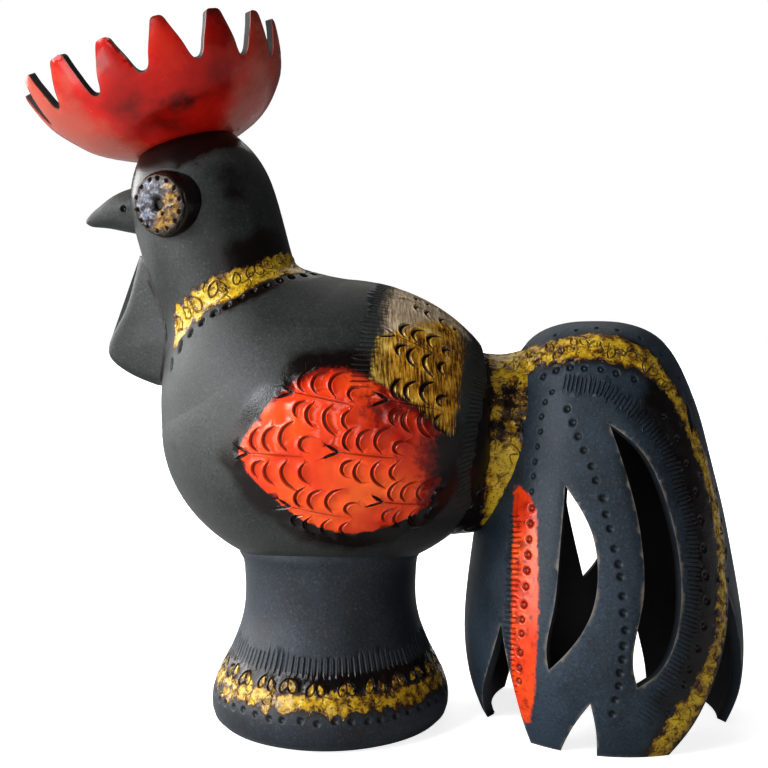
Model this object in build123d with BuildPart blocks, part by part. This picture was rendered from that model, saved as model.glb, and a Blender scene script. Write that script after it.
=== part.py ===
# Standing cockerel in thrown and hand-built pottery.
# Millimetres, Z up, origin on the ground at the middle of the length, head towards -X, tail towards +X.
import os
from math import cos, radians, sin
from build123d import *

os.makedirs("parts", exist_ok=True)

# Film of dried slip that is left between two pieces luted on a curved face
slip = 0.25

# Foot: flared stand thrown upside down, open below
foot_axis_x = -32.3
foot_outline = [
    (62.0, 0.0),
    (67.8, 3.2),
    (70.1, 10.2),
    (67.0, 25.0),
    (60.3, 38.0),
    (54.4, 52.0),
    (50.6, 75.0),
    (53.0, 110.0),
]
foot_wall = 7.0

# Body: closed egg laid on its side, tail end a little higher
body_center = (-29.4, 0, 171.9)
body_tilt = -1.7
body_half_length = 102.8
body_radius = 87.1
body_wall = 6.0
body_rear_flat = 83.5

# Neck and head: one thrown bullet leaning forward, flat on top where the comb sits
neck_top = (-118.95, 0, 338.2)
neck_lean = 16.5
head_seat_radius = 29.0
head_brow = (36.0, 11.0)
head_cheek = (41.8, 28.0)
head_radius = 43.1
head_radius_depth = 46.0
neck_straight_radius = 42.3
neck_straight_depth = 77.0
neck_wall = 6.0
flare_center = (-90.95, 0, 246.6)
flare_radius = 43.8
flare_tilt = 28.4
neck_base_center = (-85.5, 0, 226.6)
neck_base_radius = 57.0
neck_base_tilt = 35.6
neck_root_center = (-77.0, 0, 214.0)
neck_root_radius = 60.0
neck_root_tilt = 38.0

# Comb: thrown bowl with a toothed rim
comb_forward = 3.4
comb_foot_radius = 31.0
comb_belly = (62.5, 19.0)
comb_rim_radius = 77.4
comb_rim_height = 54.0
comb_wall = 5.0
comb_floor = 5.5
comb_inside_belly = (58.4, 22.0)
comb_inside_foot_radius = 29.0
tooth_count = 15
tooth_turn = 16.3
tooth_tip_height = 51.5
tooth_valley_height = 28.5
tooth_gap_half_width = 12.7
tooth_round = 3.0
tooth_cut_half_width = 17.0
tooth_cut_start = 45.0
tooth_cut_reach = 50.0

# Beak: blunt cone that droops to its tip, radius of each section
beak_root = (-136.3, 301.5, 16.5)
beak_base = (-153.3, 300.0, 13.0)
beak_middle = (-163.8, 298.6, 9.4)
beak_front = (-172.3, 295.6, 5.6)
beak_tip = (-178.3, 293.6, 2.4)
beak_tip_round = 2.0
nostril_center = (-156.3, 302.0)
nostril_radius = 2.2
nostril_depth = 5.0

# Eyes: a thick pad on each side of the head and a glazed ring pressed on it
eye_depth = 35.5
eye_bearing = 21.0
eye_facing = 30.0
eye_stand_out = 9.5
eye_pad_radius = 18.6
eye_pad_edge_round = 2.5
eye_pad_reach = 24.0
eye_ring_radius = 16.6
eye_ring_height = 3.0
eye_ring_round = 2.0
eye_pupil_radius = 2.8

# Wattle: flat slab on the middle line
wattle_thickness = 10.0
wattle_edge_round = 3.0
wattle_outline = [
    (-146.9, 273.0),
    (-149.9, 260.0),
    (-157.1, 237.0),
    (-164.3, 222.6),
    (-165.3, 214.5),
    (-158.3, 206.0),
    (-136.3, 195.5),
]
wattle_inner_edge = -102.0

# Collar between body and tail: half width and half height of its sections along the body's axis
collar_wall = 9.0
collar_root_along = 75.1
collar_root_rise = -11.2
collar_root = (52.0, 56.0)
collar_waist_along = 92.1
collar_waist_rise = -13.3
collar_waist = (40.0, 52.5)
collar_end_along = 116.1
collar_end_rise = -13.9
collar_end = (38.0, 57.0)

# Tail: pear-shaped dome thrown mouth down, then cut into feathers
tail_axis_x = 128.3
tail_wall = 6.0
tail_height = 233.5
tail_flat_top = 14.0
tail_crown = (33.0, 227.6)
tail_shoulder = (47.8, 210.5)
tail_neck = (59.2, 177.0)
tail_back = (68.6, 139.6)
tail_flank = (76.6, 97.3)
tail_belly = (82.0, 46.0)
tail_hem = (78.8, 19.5)
tail_ring_radius = 70.0
cut_start = 20.0
cut_reach = 80.0

# Gaps between the feathers on the left side: bearing on the dome, outline across and up
leaf_bearing = 8.0
leaf_front = [(-38.8, 143.5), (-44.0, 102.7), (-47.8, 76.4), (-51.3, 53.0), (-50.4, 46.2)]
leaf_back = [(-50.4, 46.2), (-41.3, 58.0), (-29.8, 78.4), (-25.7, 101.0), (-28.0, 121.0), (-38.8, 143.5)]
crescent_bearing = 12.0
crescent_front = [(-18.4, 176.7), (-9.1, 134.6), (-6.8, 106.5), (-8.5, 85.0), (-15.0, 48.0), (-13.0, 40.5)]
crescent_back = [(-13.0, 40.5), (-2.1, 47.6), (8.1, 63.1), (14.9, 96.0), (11.0, 129.2), (-4.6, 165.1), (-18.4, 176.7)]
notch_bearing = -20.0
notch_front = [(7.4, 30.8), (-1.8, 17.2), (-11.5, -3.0)]
notch_back = [(9.1, -3.0), (9.6, 18.0), (7.4, 30.8)]
front_gap_bearing = -60.0
front_gap_front = [(9.0, 65.0), (1.1, 44.5), (-8.7, 28.5), (-29.0, -3.0)]
front_gap_back = [(19.6, -3.0), (18.5, 28.0), (15.0, 44.0), (9.0, 65.0)]
back_gap_bearing = 50.0
back_gap_front = [(4.0, 82.0), (-3.5, 65.9), (-15.0, 45.6), (-24.0, 28.0), (-37.5, -3.0)]
back_gap_back = [(31.0, -3.0), (26.0, 22.0), (14.0, 56.0), (4.0, 82.0)]
slit_bearing = 58.0
slit_front = [(-6.0, 190.5), (-11.0, 180.0), (-12.0, 168.0)]
slit_back = [(-12.0, 168.0), (-6.0, 178.0), (-6.0, 190.5)]

# Gaps on the right side, cut by hand and so not quite the same
right_leaf_bearing = -3.0
right_slot_bearing = 2.0
right_slot_front = [(-15.0, 150.0), (-10.0, 113.0), (-5.9, 96.0), (2.7, 63.0)]
right_slot_back = [(2.7, 63.0), (11.6, 75.0), (17.0, 97.0), (12.0, 122.0), (-15.0, 150.0)]
right_notch_bearing = -34.0
right_notch_front = [(6.0, 36.0), (-7.0, 14.0), (-28.0, -3.0)]
right_notch_back = [(13.0, -3.0), (11.0, 18.0), (6.0, 36.0)]
right_back_gap_bearing = 26.0
right_back_gap_front = [(2.0, 52.0), (-6.0, 28.0), (-14.0, -3.0)]
right_back_gap_back = [(16.0, -3.0), (13.0, 10.0), (7.0, 30.0), (2.0, 52.0)]

# Directions and working planes shared by the pieces
foot_section = Plane(origin=(foot_axis_x, 0, 0), x_dir=(1, 0, 0), z_dir=(0, -1, 0))
foot_axis = Axis((foot_axis_x, 0, 0), (0, 0, 1))
body_along = Vector(cos(radians(body_tilt)), 0, -sin(radians(body_tilt)))
body_section = Plane(origin=body_center, x_dir=body_along, z_dir=(0, -1, 0))
body_axis = Axis(body_center, body_along)
neck_up = Vector(-sin(radians(neck_lean)), 0, cos(radians(neck_lean)))
neck_front = Vector(-cos(radians(neck_lean)), 0, -sin(radians(neck_lean)))
neck_section = Plane(origin=neck_top, x_dir=neck_front, z_dir=(0, 1, 0))
neck_axis = Axis(neck_top, neck_up)
comb_seat = Vector(*neck_top) + neck_front * comb_forward
comb_section = Plane(origin=comb_seat, x_dir=neck_front, z_dir=(0, 1, 0))
comb_axis = Axis(comb_seat, neck_up)
rooster_left = Vector(0, -1, 0)
tail_section = Plane(origin=(tail_axis_x, 0, 0), x_dir=(1, 0, 0), z_dir=(0, -1, 0))
tail_axis = Axis((tail_axis_x, 0, 0), (0, 0, 1))


def ring_plane(center, tilt):
    """Plane across the neck, leaning forward by the tilt."""
    lean = radians(tilt)
    return Plane(origin=center, x_dir=(0, -1, 0), z_dir=(-sin(lean), 0, cos(lean)))


def feather_plane(bearing, side):
    """Upright plane facing out of the dome; side is -1 on the left and 1 on the right."""
    turn = radians(bearing)
    outward = Vector(sin(turn), side * cos(turn), 0)
    across = Vector(cos(turn), -side * sin(turn), 0)
    return Plane(origin=(tail_axis_x, 0, 0), x_dir=across, z_dir=outward * -side)


def body_form(grow):
    """Solid outer form of the body, larger all round by the given amount."""
    with BuildPart() as form:
        with BuildSketch(body_section):
            Ellipse(body_half_length + grow, body_radius + grow)
            with Locations((-body_half_length - 20, 0)):
                Rectangle(
                    body_half_length + 20 + body_rear_flat + grow,
                    body_radius + 20,
                    align=(Align.MIN, Align.MIN),
                    mode=Mode.INTERSECT,
                )
        revolve(axis=body_axis)
    return form.part


def neck_form(grow):
    """Solid outer form of neck, head and flared base, larger by the given amount."""
    with BuildPart() as form:
        with BuildSketch(neck_section):
            with BuildLine():
                Line((0, -neck_straight_depth), (0, grow))
                Line((0, grow), (head_seat_radius + grow, grow))
                Spline(
                    (head_seat_radius + grow, grow),
                    (head_brow[0] + grow, -head_brow[1]),
                    (head_cheek[0] + grow, -head_cheek[1]),
                    (head_radius + grow, -head_radius_depth),
                    (neck_straight_radius + grow, -neck_straight_depth),
                )
                Line((neck_straight_radius + grow, -neck_straight_depth), (0, -neck_straight_depth))
            make_face()
        revolve(axis=neck_axis)
        straight_end = Vector(*neck_top) - neck_up * neck_straight_depth
        with BuildSketch(ring_plane(straight_end, neck_lean)):
            Circle(neck_straight_radius + grow)
        with BuildSketch(ring_plane(flare_center, flare_tilt)):
            Circle(flare_radius + grow)
        with BuildSketch(ring_plane(neck_base_center, neck_base_tilt)):
            Circle(neck_base_radius + grow)
        with BuildSketch(ring_plane(neck_root_center, neck_root_tilt)):
            Circle(neck_root_radius + grow)
        loft()
    return form.part


def tail_form(wall):
    """Solid of the uncut dome, smaller all round by the given wall."""
    with BuildPart() as form:
        with BuildSketch(tail_section):
            with BuildLine():
                Line((0, 0), (0, tail_height - wall))
                Line((0, tail_height - wall), (tail_flat_top, tail_height - wall))
                Spline(
                    (tail_flat_top, tail_height - wall),
                    (tail_crown[0] - 0.4 * wall, tail_crown[1] - 0.9 * wall),
                    (tail_shoulder[0] - 0.85 * wall, tail_shoulder[1] - 0.5 * wall),
                    (tail_neck[0] - wall, tail_neck[1]),
                    (tail_back[0] - wall, tail_back[1]),
                    (tail_flank[0] - wall, tail_flank[1]),
                    (tail_belly[0] - wall, tail_belly[1]),
                    (tail_hem[0] - wall, tail_hem[1]),
                    (tail_ring_radius - wall, 0),
                )
                Line((tail_ring_radius - wall, 0), (0, 0))
            make_face()
        revolve(axis=tail_axis)
    return form.part


body_bed = body_form(slip)
neck_bed = neck_form(slip)
tail_bed = tail_form(-slip)

# Foot: outside drawn as one curve, wall turned inwards, top cut to the belly of the body
with BuildPart() as foot:
    with BuildSketch(foot_section):
        foot_inside = [(radius - foot_wall, height) for radius, height in foot_outline]
        with BuildLine():
            Line(foot_inside[0], foot_outline[0])
            Spline(*foot_outline)
            Line(foot_outline[-1], foot_inside[-1])
            Spline(*foot_inside)
        make_face()
    revolve(axis=foot_axis)
    add(body_bed, mode=Mode.SUBTRACT)
foot.part.label = "foot"
export_step(foot.part, "parts/foot.step")

# Body: hollow inside, closed all round, flat at the rear under the collar
with BuildPart() as body:
    add(body_form(0))
    add(body_form(-body_wall), mode=Mode.SUBTRACT)
body.part.label = "body"
export_step(body.part, "parts/body.step")

# Neck and head: hollow, open below where it stands on the body
with BuildPart() as neck_head:
    add(neck_form(0))
    add(neck_form(-neck_wall), mode=Mode.SUBTRACT)
    add(body_bed, mode=Mode.SUBTRACT)
neck_head.part.label = "neck_head"
export_step(neck_head.part, "parts/neck_head.step")

# Comb: bowl turned on the head's axis, then one cut for each gap between teeth
with BuildPart() as comb:
    with BuildSketch(comb_section):
        with BuildLine():
            Line((0, 0), (comb_foot_radius, 0))
            ThreePointArc((comb_foot_radius, 0), comb_belly, (comb_rim_radius, comb_rim_height))
            Line((comb_rim_radius, comb_rim_height), (comb_rim_radius - comb_wall, comb_rim_height))
            ThreePointArc(
                (comb_rim_radius - comb_wall, comb_rim_height),
                comb_inside_belly,
                (comb_inside_foot_radius, comb_floor),
            )
            Line((comb_inside_foot_radius, comb_floor), (0, comb_floor))
            Line((0, comb_floor), (0, 0))
        make_face()
    revolve(axis=comb_axis)
    for gap in range(tooth_count):
        turn = radians(gap * 360 / tooth_count + tooth_turn)
        outward = neck_front * cos(turn) + rooster_left * sin(turn)
        across = rooster_left * cos(turn) - neck_front * sin(turn)
        gap_plane = Plane(
            origin=comb_seat + outward * tooth_cut_start,
            x_dir=across,
            z_dir=outward,
        )
        with BuildSketch(gap_plane) as gap_shape:
            with BuildLine():
                Polyline(
                    (-tooth_cut_half_width, comb_rim_height + 5),
                    (-tooth_cut_half_width, tooth_tip_height),
                    (-tooth_gap_half_width, tooth_tip_height),
                    (0, tooth_valley_height - tooth_round),
                    (tooth_gap_half_width, tooth_tip_height),
                    (tooth_cut_half_width, tooth_tip_height),
                    (tooth_cut_half_width, comb_rim_height + 5),
                    close=True,
                )
            make_face()
            gap_corners = gap_shape.vertices().filter_by(lambda corner: abs(corner.X) < tooth_cut_half_width - 1)
            fillet(gap_corners, tooth_round)
        extrude(amount=tooth_cut_reach, mode=Mode.SUBTRACT)
comb.part.label = "comb"
export_step(comb.part, "parts/comb.step")

# Beak: sections from root to tip, cut to the front of the head
with BuildPart() as beak:
    for station in (beak_root, beak_base, beak_middle, beak_front, beak_tip):
        with BuildSketch(Plane(origin=(station[0], 0, station[1]), x_dir=(0, -1, 0), z_dir=(-1, 0, 0))):
            Circle(station[2])
    loft()
    fillet(beak.edges().sort_by(Axis.X)[0], beak_tip_round)
    add(neck_bed, mode=Mode.SUBTRACT)
    for side in (-1, 1):
        nostril_plane = Plane(
            origin=(nostril_center[0], side * (beak_base[2] - nostril_depth), nostril_center[1]),
            x_dir=(1, 0, 0),
            z_dir=(0, side, 0),
        )
        with BuildSketch(nostril_plane):
            Circle(nostril_radius)
        extrude(amount=nostril_depth * 2, mode=Mode.SUBTRACT)
beak.part.label = "beak"
export_step(beak.part, "parts/beak.step")


def eye_plane(side):
    """Plane of the pad's face; side is 1 on the left and -1 on the right."""
    at = Vector(*neck_top) - neck_up * eye_depth
    left = rooster_left * side
    out = left * cos(radians(eye_bearing)) + neck_front * sin(radians(eye_bearing))
    facing = left * cos(radians(eye_facing)) + neck_front * sin(radians(eye_facing))
    return Plane(origin=at + out * (head_radius + eye_stand_out), x_dir=neck_up, z_dir=facing)


# Left eye pad: thick disc with a rounded edge, back cut to the head
with BuildPart() as left_eye_pad:
    with BuildSketch(eye_plane(1)):
        Circle(eye_pad_radius)
    extrude(amount=-eye_pad_reach)
    fillet(left_eye_pad.faces().sort_by(Axis.Y)[0].edges(), eye_pad_edge_round)
    add(neck_bed, mode=Mode.SUBTRACT)
left_eye_pad.part.label = "left_eye_pad"
export_step(left_eye_pad.part, "parts/left_eye_pad.step")

# Right eye pad: the left one mirrored
with BuildPart() as right_eye_pad:
    mirror(left_eye_pad.part, about=Plane.XZ)
right_eye_pad.part.label = "right_eye_pad"
export_step(right_eye_pad.part, "parts/right_eye_pad.step")

# Left eye ring: rounded ring on the pad's face with a hole as pupil
with BuildPart() as left_eye_ring:
    with BuildSketch(eye_plane(1)):
        Circle(eye_ring_radius)
        Circle(eye_pupil_radius, mode=Mode.SUBTRACT)
    extrude(amount=eye_ring_height)
    fillet(left_eye_ring.faces().sort_by(Axis.Y)[0].edges(), eye_ring_round)
left_eye_ring.part.label = "left_eye_ring"
export_step(left_eye_ring.part, "parts/left_eye_ring.step")

# Right eye ring: the left one mirrored
with BuildPart() as right_eye_ring:
    mirror(left_eye_ring.part, about=Plane.XZ)
right_eye_ring.part.label = "right_eye_ring"
export_step(right_eye_ring.part, "parts/right_eye_ring.step")

# Wattle: slab with rounded edges, back cut to neck and chest
with BuildPart() as wattle:
    with BuildSketch(Plane.XZ):
        with BuildLine():
            Spline(*wattle_outline)
            Polyline(
                wattle_outline[-1],
                (wattle_inner_edge, wattle_outline[-1][1]),
                (wattle_inner_edge, wattle_outline[0][1]),
                wattle_outline[0],
            )
        make_face()
    extrude(amount=wattle_thickness / 2, both=True)
    slab_sides = wattle.faces().filter_by(Axis.Y)
    fillet(slab_sides.edges().filter_by(GeomType.BSPLINE), wattle_edge_round)
    add(neck_bed, mode=Mode.SUBTRACT)
    add(body_bed, mode=Mode.SUBTRACT)
wattle.part.label = "wattle"
export_step(wattle.part, "parts/wattle.step")


def collar_form(wall):
    """Oval waist between body and tail, smaller all round by the given wall."""
    with BuildPart() as form:
        for along, rise, half in (
            (collar_root_along, collar_root_rise, collar_root),
            (collar_waist_along, collar_waist_rise, collar_waist),
            (collar_end_along, collar_end_rise, collar_end),
        ):
            center = Vector(*body_center) + body_along * along + Vector(0, 0, rise)
            with BuildSketch(Plane(origin=center, x_dir=rooster_left, z_dir=body_along)):
                Ellipse(half[0] - wall, half[1] - wall)
        loft()
    return form.part


# Tail collar: oval ring round the joint, cut to the body on one side and to the dome on the other
with BuildPart() as tail_collar:
    add(collar_form(0))
    add(collar_form(collar_wall), mode=Mode.SUBTRACT)
    add(body_bed, mode=Mode.SUBTRACT)
    add(tail_bed, mode=Mode.SUBTRACT)
tail_collar.part.label = "tail_collar"
export_step(tail_collar.part, "parts/tail_collar.step")

# Tail: hollow dome, then the gaps between the feathers on each side
with BuildPart() as tail:
    add(tail_form(0))
    add(tail_form(tail_wall), mode=Mode.SUBTRACT)
    for bearing, side, front_edge, back_edge in (
        (leaf_bearing, -1, leaf_front, leaf_back),
        (crescent_bearing, -1, crescent_front, crescent_back),
        (notch_bearing, -1, notch_front, notch_back),
        (front_gap_bearing, -1, front_gap_front, front_gap_back),
        (back_gap_bearing, -1, back_gap_front, back_gap_back),
        (slit_bearing, -1, slit_front, slit_back),
        (right_leaf_bearing, 1, leaf_front, leaf_back),
        (right_slot_bearing, 1, right_slot_front, right_slot_back),
        (right_notch_bearing, 1, right_notch_front, right_notch_back),
        (right_back_gap_bearing, 1, right_back_gap_front, right_back_gap_back),
        (slit_bearing, 1, slit_front, slit_back),
    ):
        with BuildSketch(feather_plane(bearing, side).offset(-side * cut_start)):
            with BuildLine():
                Spline(*front_edge)
                if front_edge[-1] != back_edge[0]:
                    Line(front_edge[-1], back_edge[0])
                Spline(*back_edge)
            make_face()
        extrude(amount=-side * cut_reach, mode=Mode.SUBTRACT)
tail.part.label = "tail"
export_step(tail.part, "parts/tail.step")
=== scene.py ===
# Standing cockerel in thrown and hand-built pottery: finish, light and camera.
import math
import bmesh
import bpy
import numpy as np
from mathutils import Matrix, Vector, noise
from mathutils.geometry import delaunay_2d_cdt
from mathutils.kdtree import KDTree


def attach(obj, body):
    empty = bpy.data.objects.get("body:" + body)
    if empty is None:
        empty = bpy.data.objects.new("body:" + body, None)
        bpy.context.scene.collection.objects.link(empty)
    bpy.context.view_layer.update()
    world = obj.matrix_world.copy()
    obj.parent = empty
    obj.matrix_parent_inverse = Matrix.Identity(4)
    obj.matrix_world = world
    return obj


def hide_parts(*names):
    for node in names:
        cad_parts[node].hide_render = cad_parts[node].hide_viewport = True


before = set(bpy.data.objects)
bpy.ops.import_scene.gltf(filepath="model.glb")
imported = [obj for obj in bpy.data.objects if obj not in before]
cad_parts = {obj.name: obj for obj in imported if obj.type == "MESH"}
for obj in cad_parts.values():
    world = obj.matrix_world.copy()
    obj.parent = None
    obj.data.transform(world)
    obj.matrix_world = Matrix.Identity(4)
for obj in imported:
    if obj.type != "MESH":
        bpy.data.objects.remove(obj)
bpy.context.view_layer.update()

# Foot: flared stand thrown upside down on the wheel, open below, in black-fired clay.
# Its hem has a roulette ring, a band of yellow glaze under pressed petals and a row of tube marks.
# Slip holds its top to the belly of the body.
rng = np.random.default_rng(7)
mm = 0.001


def smooth_line(points, step):
    """Points on a smooth curve through the given ones, about a step apart."""
    knots = np.array(points, float)
    count = len(knots)
    at = np.concatenate([[0.0], np.cumsum(np.linalg.norm(np.diff(knots, axis=0), axis=1))])
    gap = np.diff(at)
    system = np.eye(count)
    bend = np.zeros_like(knots)
    for i in range(1, count - 1):
        system[i, i - 1 : i + 2] = gap[i - 1], 2 * (gap[i - 1] + gap[i]), gap[i]
        bend[i] = 6 * ((knots[i + 1] - knots[i]) / gap[i] - (knots[i] - knots[i - 1]) / gap[i - 1])
    bend = np.linalg.solve(system, bend)
    walk = np.linspace(0, at[-1], max(2, int(at[-1] / step) + 1))
    k = np.clip(np.searchsorted(at, walk, side="right") - 1, 0, count - 2)
    width = gap[k][:, None]
    before = (at[k + 1] - walk)[:, None] / width
    after = (walk - at[k])[:, None] / width
    sag = ((before**3 - before) * bend[k] + (after**3 - after) * bend[k + 1]) * width**2 / 6
    return before * knots[k] + after * knots[k + 1] + sag


def held(values):
    """Values held between nought and one."""
    return np.clip(values, 0, 1)


def hump(along, across=0.0):
    """A soft hump, one where both distances are nought."""
    return np.exp(-(along**2) - across**2)


class Form:
    """A thrown form: rings with a centre, two directions and two half widths, in the order of its rise."""

    def __init__(self, center, front, left, deep, wide):
        rows = np.ones((len(center), 1))
        self.rings = np.column_stack([center, rows * front, rows * left, deep, wide])
        steps = np.linalg.norm(np.diff(np.column_stack([center, deep]), axis=0), axis=1)
        self.rise = np.concatenate([[0.0], np.cumsum(steps)])
        self.length = self.rise[-1]

    def ring(self, rise):
        return np.stack([np.interp(rise, self.rise, column) for column in self.rings.T], -1)

    def radius(self, rise):
        return self.ring(rise)[..., 9:11].mean(-1)

    def skin(self, turn, rise):
        ring = self.ring(rise)
        angle = np.radians(turn)[..., None]
        forward = np.cos(angle) * ring[..., 9:10] * ring[..., 3:6]
        sideways = np.sin(angle) * ring[..., 10:11] * ring[..., 6:9]
        return ring[..., 0:3] + forward + sideways

    def lifted(self, turn, rise, lift):
        """The skin pushed outward by a lift in millimetres."""
        return self.skin(turn, rise) + self.outward(turn, rise) * np.asarray(lift)[..., None]

    def outward(self, turn, rise):
        around = self.skin(turn + 0.5, rise) - self.skin(turn - 0.5, rise)
        upper = self.skin(turn, np.minimum(rise + 0.4, self.length))
        along = upper - self.skin(turn, np.maximum(rise - 0.4, 0))
        normal = np.cross(around, along)
        return normal / np.maximum(np.linalg.norm(normal, axis=-1, keepdims=True), 1e-9)


def turned(origin, up, front, profile):
    """Form turned on an upright through the origin, from a profile of radius and height."""
    profile = np.array(profile, float)
    center = np.array(origin, float) + profile[:, 1:2] * np.array(up, float)
    return Form(center, front, np.cross(up, front), profile[:, 0], profile[:, 0])


def nearest(spots, path):
    """Distance of each spot from a path of straight runs, and how far along the path, 0 to 1, it is met."""
    start = path[:-1]
    run = path[1:] - start
    length = np.maximum((run**2).sum(1), 1e-9)
    offset = spots[:, None, :] - start[None]
    share = held((offset * run).sum(2) / length)
    distance = np.linalg.norm(offset - share[..., None] * run, axis=2)
    which = distance.argmin(1)
    row = np.arange(len(spots))
    return distance[row, which], (which + share[row, which]) / len(run)


def is_inside(spots, outline):
    """Which spots lie inside a closed outline."""
    x, y = spots[:, 0:1], spots[:, 1:2]
    ax, ay = outline[:, 0], outline[:, 1]
    bx, by = np.roll(ax, -1), np.roll(ay, -1)
    rise = np.where(by == ay, 1e-12, by - ay)
    crosses = ((ay > y) != (by > y)) & (x < (bx - ax) * (y - ay) / rise + ax)
    return crosses.sum(1) % 2 == 1


def triangulate(spots, links, kind):
    """Flat triangles over the spots, all turned the same way, with the links kept as edges."""
    laid = delaunay_2d_cdt([Vector(spot) for spot in spots], links, [], kind, 1e-5, False)
    flat = np.array([(v.x, v.y) for v in laid[0]])
    faces = np.array([face for face in laid[2] if len(face) == 3], int)
    corner = flat[faces]
    area = np.cross(corner[:, 1] - corner[:, 0], corner[:, 2] - corner[:, 0])
    return flat, np.where((area < 0)[:, None], faces[:, ::-1], faces)[np.abs(area) > 1e-4]


class ClayWall:
    """A wall laid out flat, turn in degrees and rise in millimetres, with the marks pressed into it."""

    # Sections of the marks: distance from the middle in half widths, and lift of the clay in depths
    sections = {
        "hole": ((0, 0.55, 0.85, 1.05, 1.3, 1.8), (-1.0, -0.95, -0.6, 0.02, 0.12, 0)),
        "ring": ((0, 0.45, 0.65, 0.9, 1.12, 1.4, 1.8), (-0.3, -0.35, -1.0, -0.9, 0.12, 0.12, 0)),
        "line": ((0, 0.5, 0.95, 1.35, 1.9), (-1.0, -0.88, 0.0, 0.22, 0)),
        "barb": ((0, 0.5, 0.95, 1.4, 1.9), (-1.0, -0.85, 0.0, 0.32, 0)),
    }
    spot_rings = (0.42, 0.7, 0.95, 1.18, 1.45, 1.9)
    line_steps = (-1.9, -1.35, -0.95, -0.5, 0, 0.5, 0.95, 1.35, 1.9)
    petal = [
        (0, -1.4), (2.6, -2.2), (5.3, -1.3), (6.8, 0), (5.3, 1.3), (2.6, 2.2), (0, 1.4), (-0.8, 0), (0, -1.4),
    ]
    # Millimetres kept between two points of marks, round a mark and round a cut
    closest = 0.32
    mark_clearance = 0.75
    cut_clearance = 0.55

    def __init__(self, form, grain, seam=-180.0, low=0.0, high=None):
        self.form = form
        self.grain = grain
        self.seam = seam
        self.low = low
        self.high = form.length if high is None else high
        self.marks = []
        self.petals = []
        self.zones = []
        self.gaps = []
        self.flat_radius = float(form.radius((self.low + self.high) / 2))

    def flat(self, spots):
        """Turn and rise laid out in millimetres."""
        return np.stack([np.radians(spots[:, 0] - self.seam) * self.flat_radius, spots[:, 1]], 1)

    def unflat(self, spots):
        return np.stack([np.degrees(spots[:, 0] / self.flat_radius) + self.seam, spots[:, 1]], 1)

    def per_degree(self, rise):
        return float(self.form.radius(rise)) * math.pi / 180

    def press_hole(self, turn, rise, radius, depth, kind="hole"):
        """A round hole, or the ring left by a tube's end."""
        self.marks.append((np.array([[turn, rise]], float), radius, depth, kind))

    def press_line(self, path, half_width, depth, kind="line"):
        self.marks.append((np.array(path, float), half_width, depth, kind))

    def press_tick(self, turn, rise, half_length, half_width, depth):
        """One short upright line of a roulette."""
        ends = [(turn, rise - half_length), (turn, rise + half_length)]
        self.press_line(smooth_line(ends, 1.3), half_width, depth)

    def press_shape(self, turn, rise, heading, shape, half_width, depth, kind="line"):
        """A line drawn in millimetres from a spot, turned by a heading in degrees."""
        shape = np.array(shape, float)
        c, s = math.cos(math.radians(heading)), math.sin(math.radians(heading))
        along = shape[:, 0] * c - shape[:, 1] * s
        across = shape[:, 0] * s + shape[:, 1] * c
        path = np.stack([turn - across / self.per_degree(rise), rise + along], 1)
        self.press_line(path, half_width, depth, kind)

    def press_petal(self, turn, rise, heading, size):
        """The outline of a small leaf with its tip along the heading."""
        self.press_shape(turn, rise, heading, smooth_line(np.array(self.petal) * size, 0.8), 0.55, 0.85)
        self.petals.append(self.marks[-1][0])

    def petal_fill(self, turn, rise):
        """One inside the pressed leaves, nought elsewhere."""
        spots = self.flat(np.stack([turn, rise], 1))
        fill = np.zeros(len(turn))
        for outline in self.petals:
            ring = self.flat(outline)
            near = np.flatnonzero((np.abs(spots - ring.mean(0)) < 16).all(1))
            fill[near] = np.maximum(fill[near], is_inside(spots[near], ring))
        return fill

    def taper(self, share, kind):
        """Width of a line along its run: a barb is thin at both ends."""
        share = np.asarray(share, float)
        return 0.35 + 0.65 * np.sin(np.pi * share) ** 0.7 if kind == "barb" else np.ones_like(share)

    def mark_points(self, mark):
        path, half_width, _, kind = mark
        metric = np.array([self.per_degree(path[0, 1]), 1.0])
        local = (path - path[0]) * metric
        if len(path) == 1:
            spokes = np.radians(np.arange(0, 360, 30))
            spots = [np.zeros((1, 2))]
            for ring in self.spot_rings:
                spots.append(half_width * ring * np.stack([np.cos(spokes + ring), np.sin(spokes + ring)], 1))
        else:
            heading = np.gradient(local, axis=0)
            heading /= np.maximum(np.linalg.norm(heading, axis=1, keepdims=True), 1e-9)
            across = np.stack([-heading[:, 1], heading[:, 0]], 1)
            across *= half_width * self.taper(np.linspace(0, 1, len(path)), kind)[:, None]
            spots = [local + across * step for step in self.line_steps]
        return path[0] + np.concatenate(spots) / metric

    def relief(self, turn, rise):
        """How far each spot is pushed in, and how far the clay beside a mark is pushed up."""
        dent = np.zeros(len(turn))
        lip = np.zeros(len(turn))
        for path, half_width, depth, kind in self.marks:
            per_degree = self.per_degree(path[0, 1])
            local = (path - path[0]) * (per_degree, 1.0)
            reach = 2 * half_width
            x = ((turn - path[0, 0] + 180) % 360 - 180) * per_degree
            y = rise - path[0, 1]
            near = (x > local[:, 0].min() - reach) & (x < local[:, 0].max() + reach)
            near &= (y > local[:, 1].min() - reach) & (y < local[:, 1].max() + reach)
            near = np.flatnonzero(near)
            if len(near) == 0:
                continue
            spots = np.stack([x[near], y[near]], 1)
            if len(path) == 1:
                away = np.linalg.norm(spots, axis=1)
                width = 1.0
            else:
                away, share = nearest(spots, local)
                width = self.taper(share, kind)
            lift = depth * width * np.interp(away / (half_width * width), *self.sections[kind])
            dent[near] = np.minimum(dent[near], lift)
            lip[near] = np.maximum(lip[near], lift)
        return dent, lip

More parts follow.
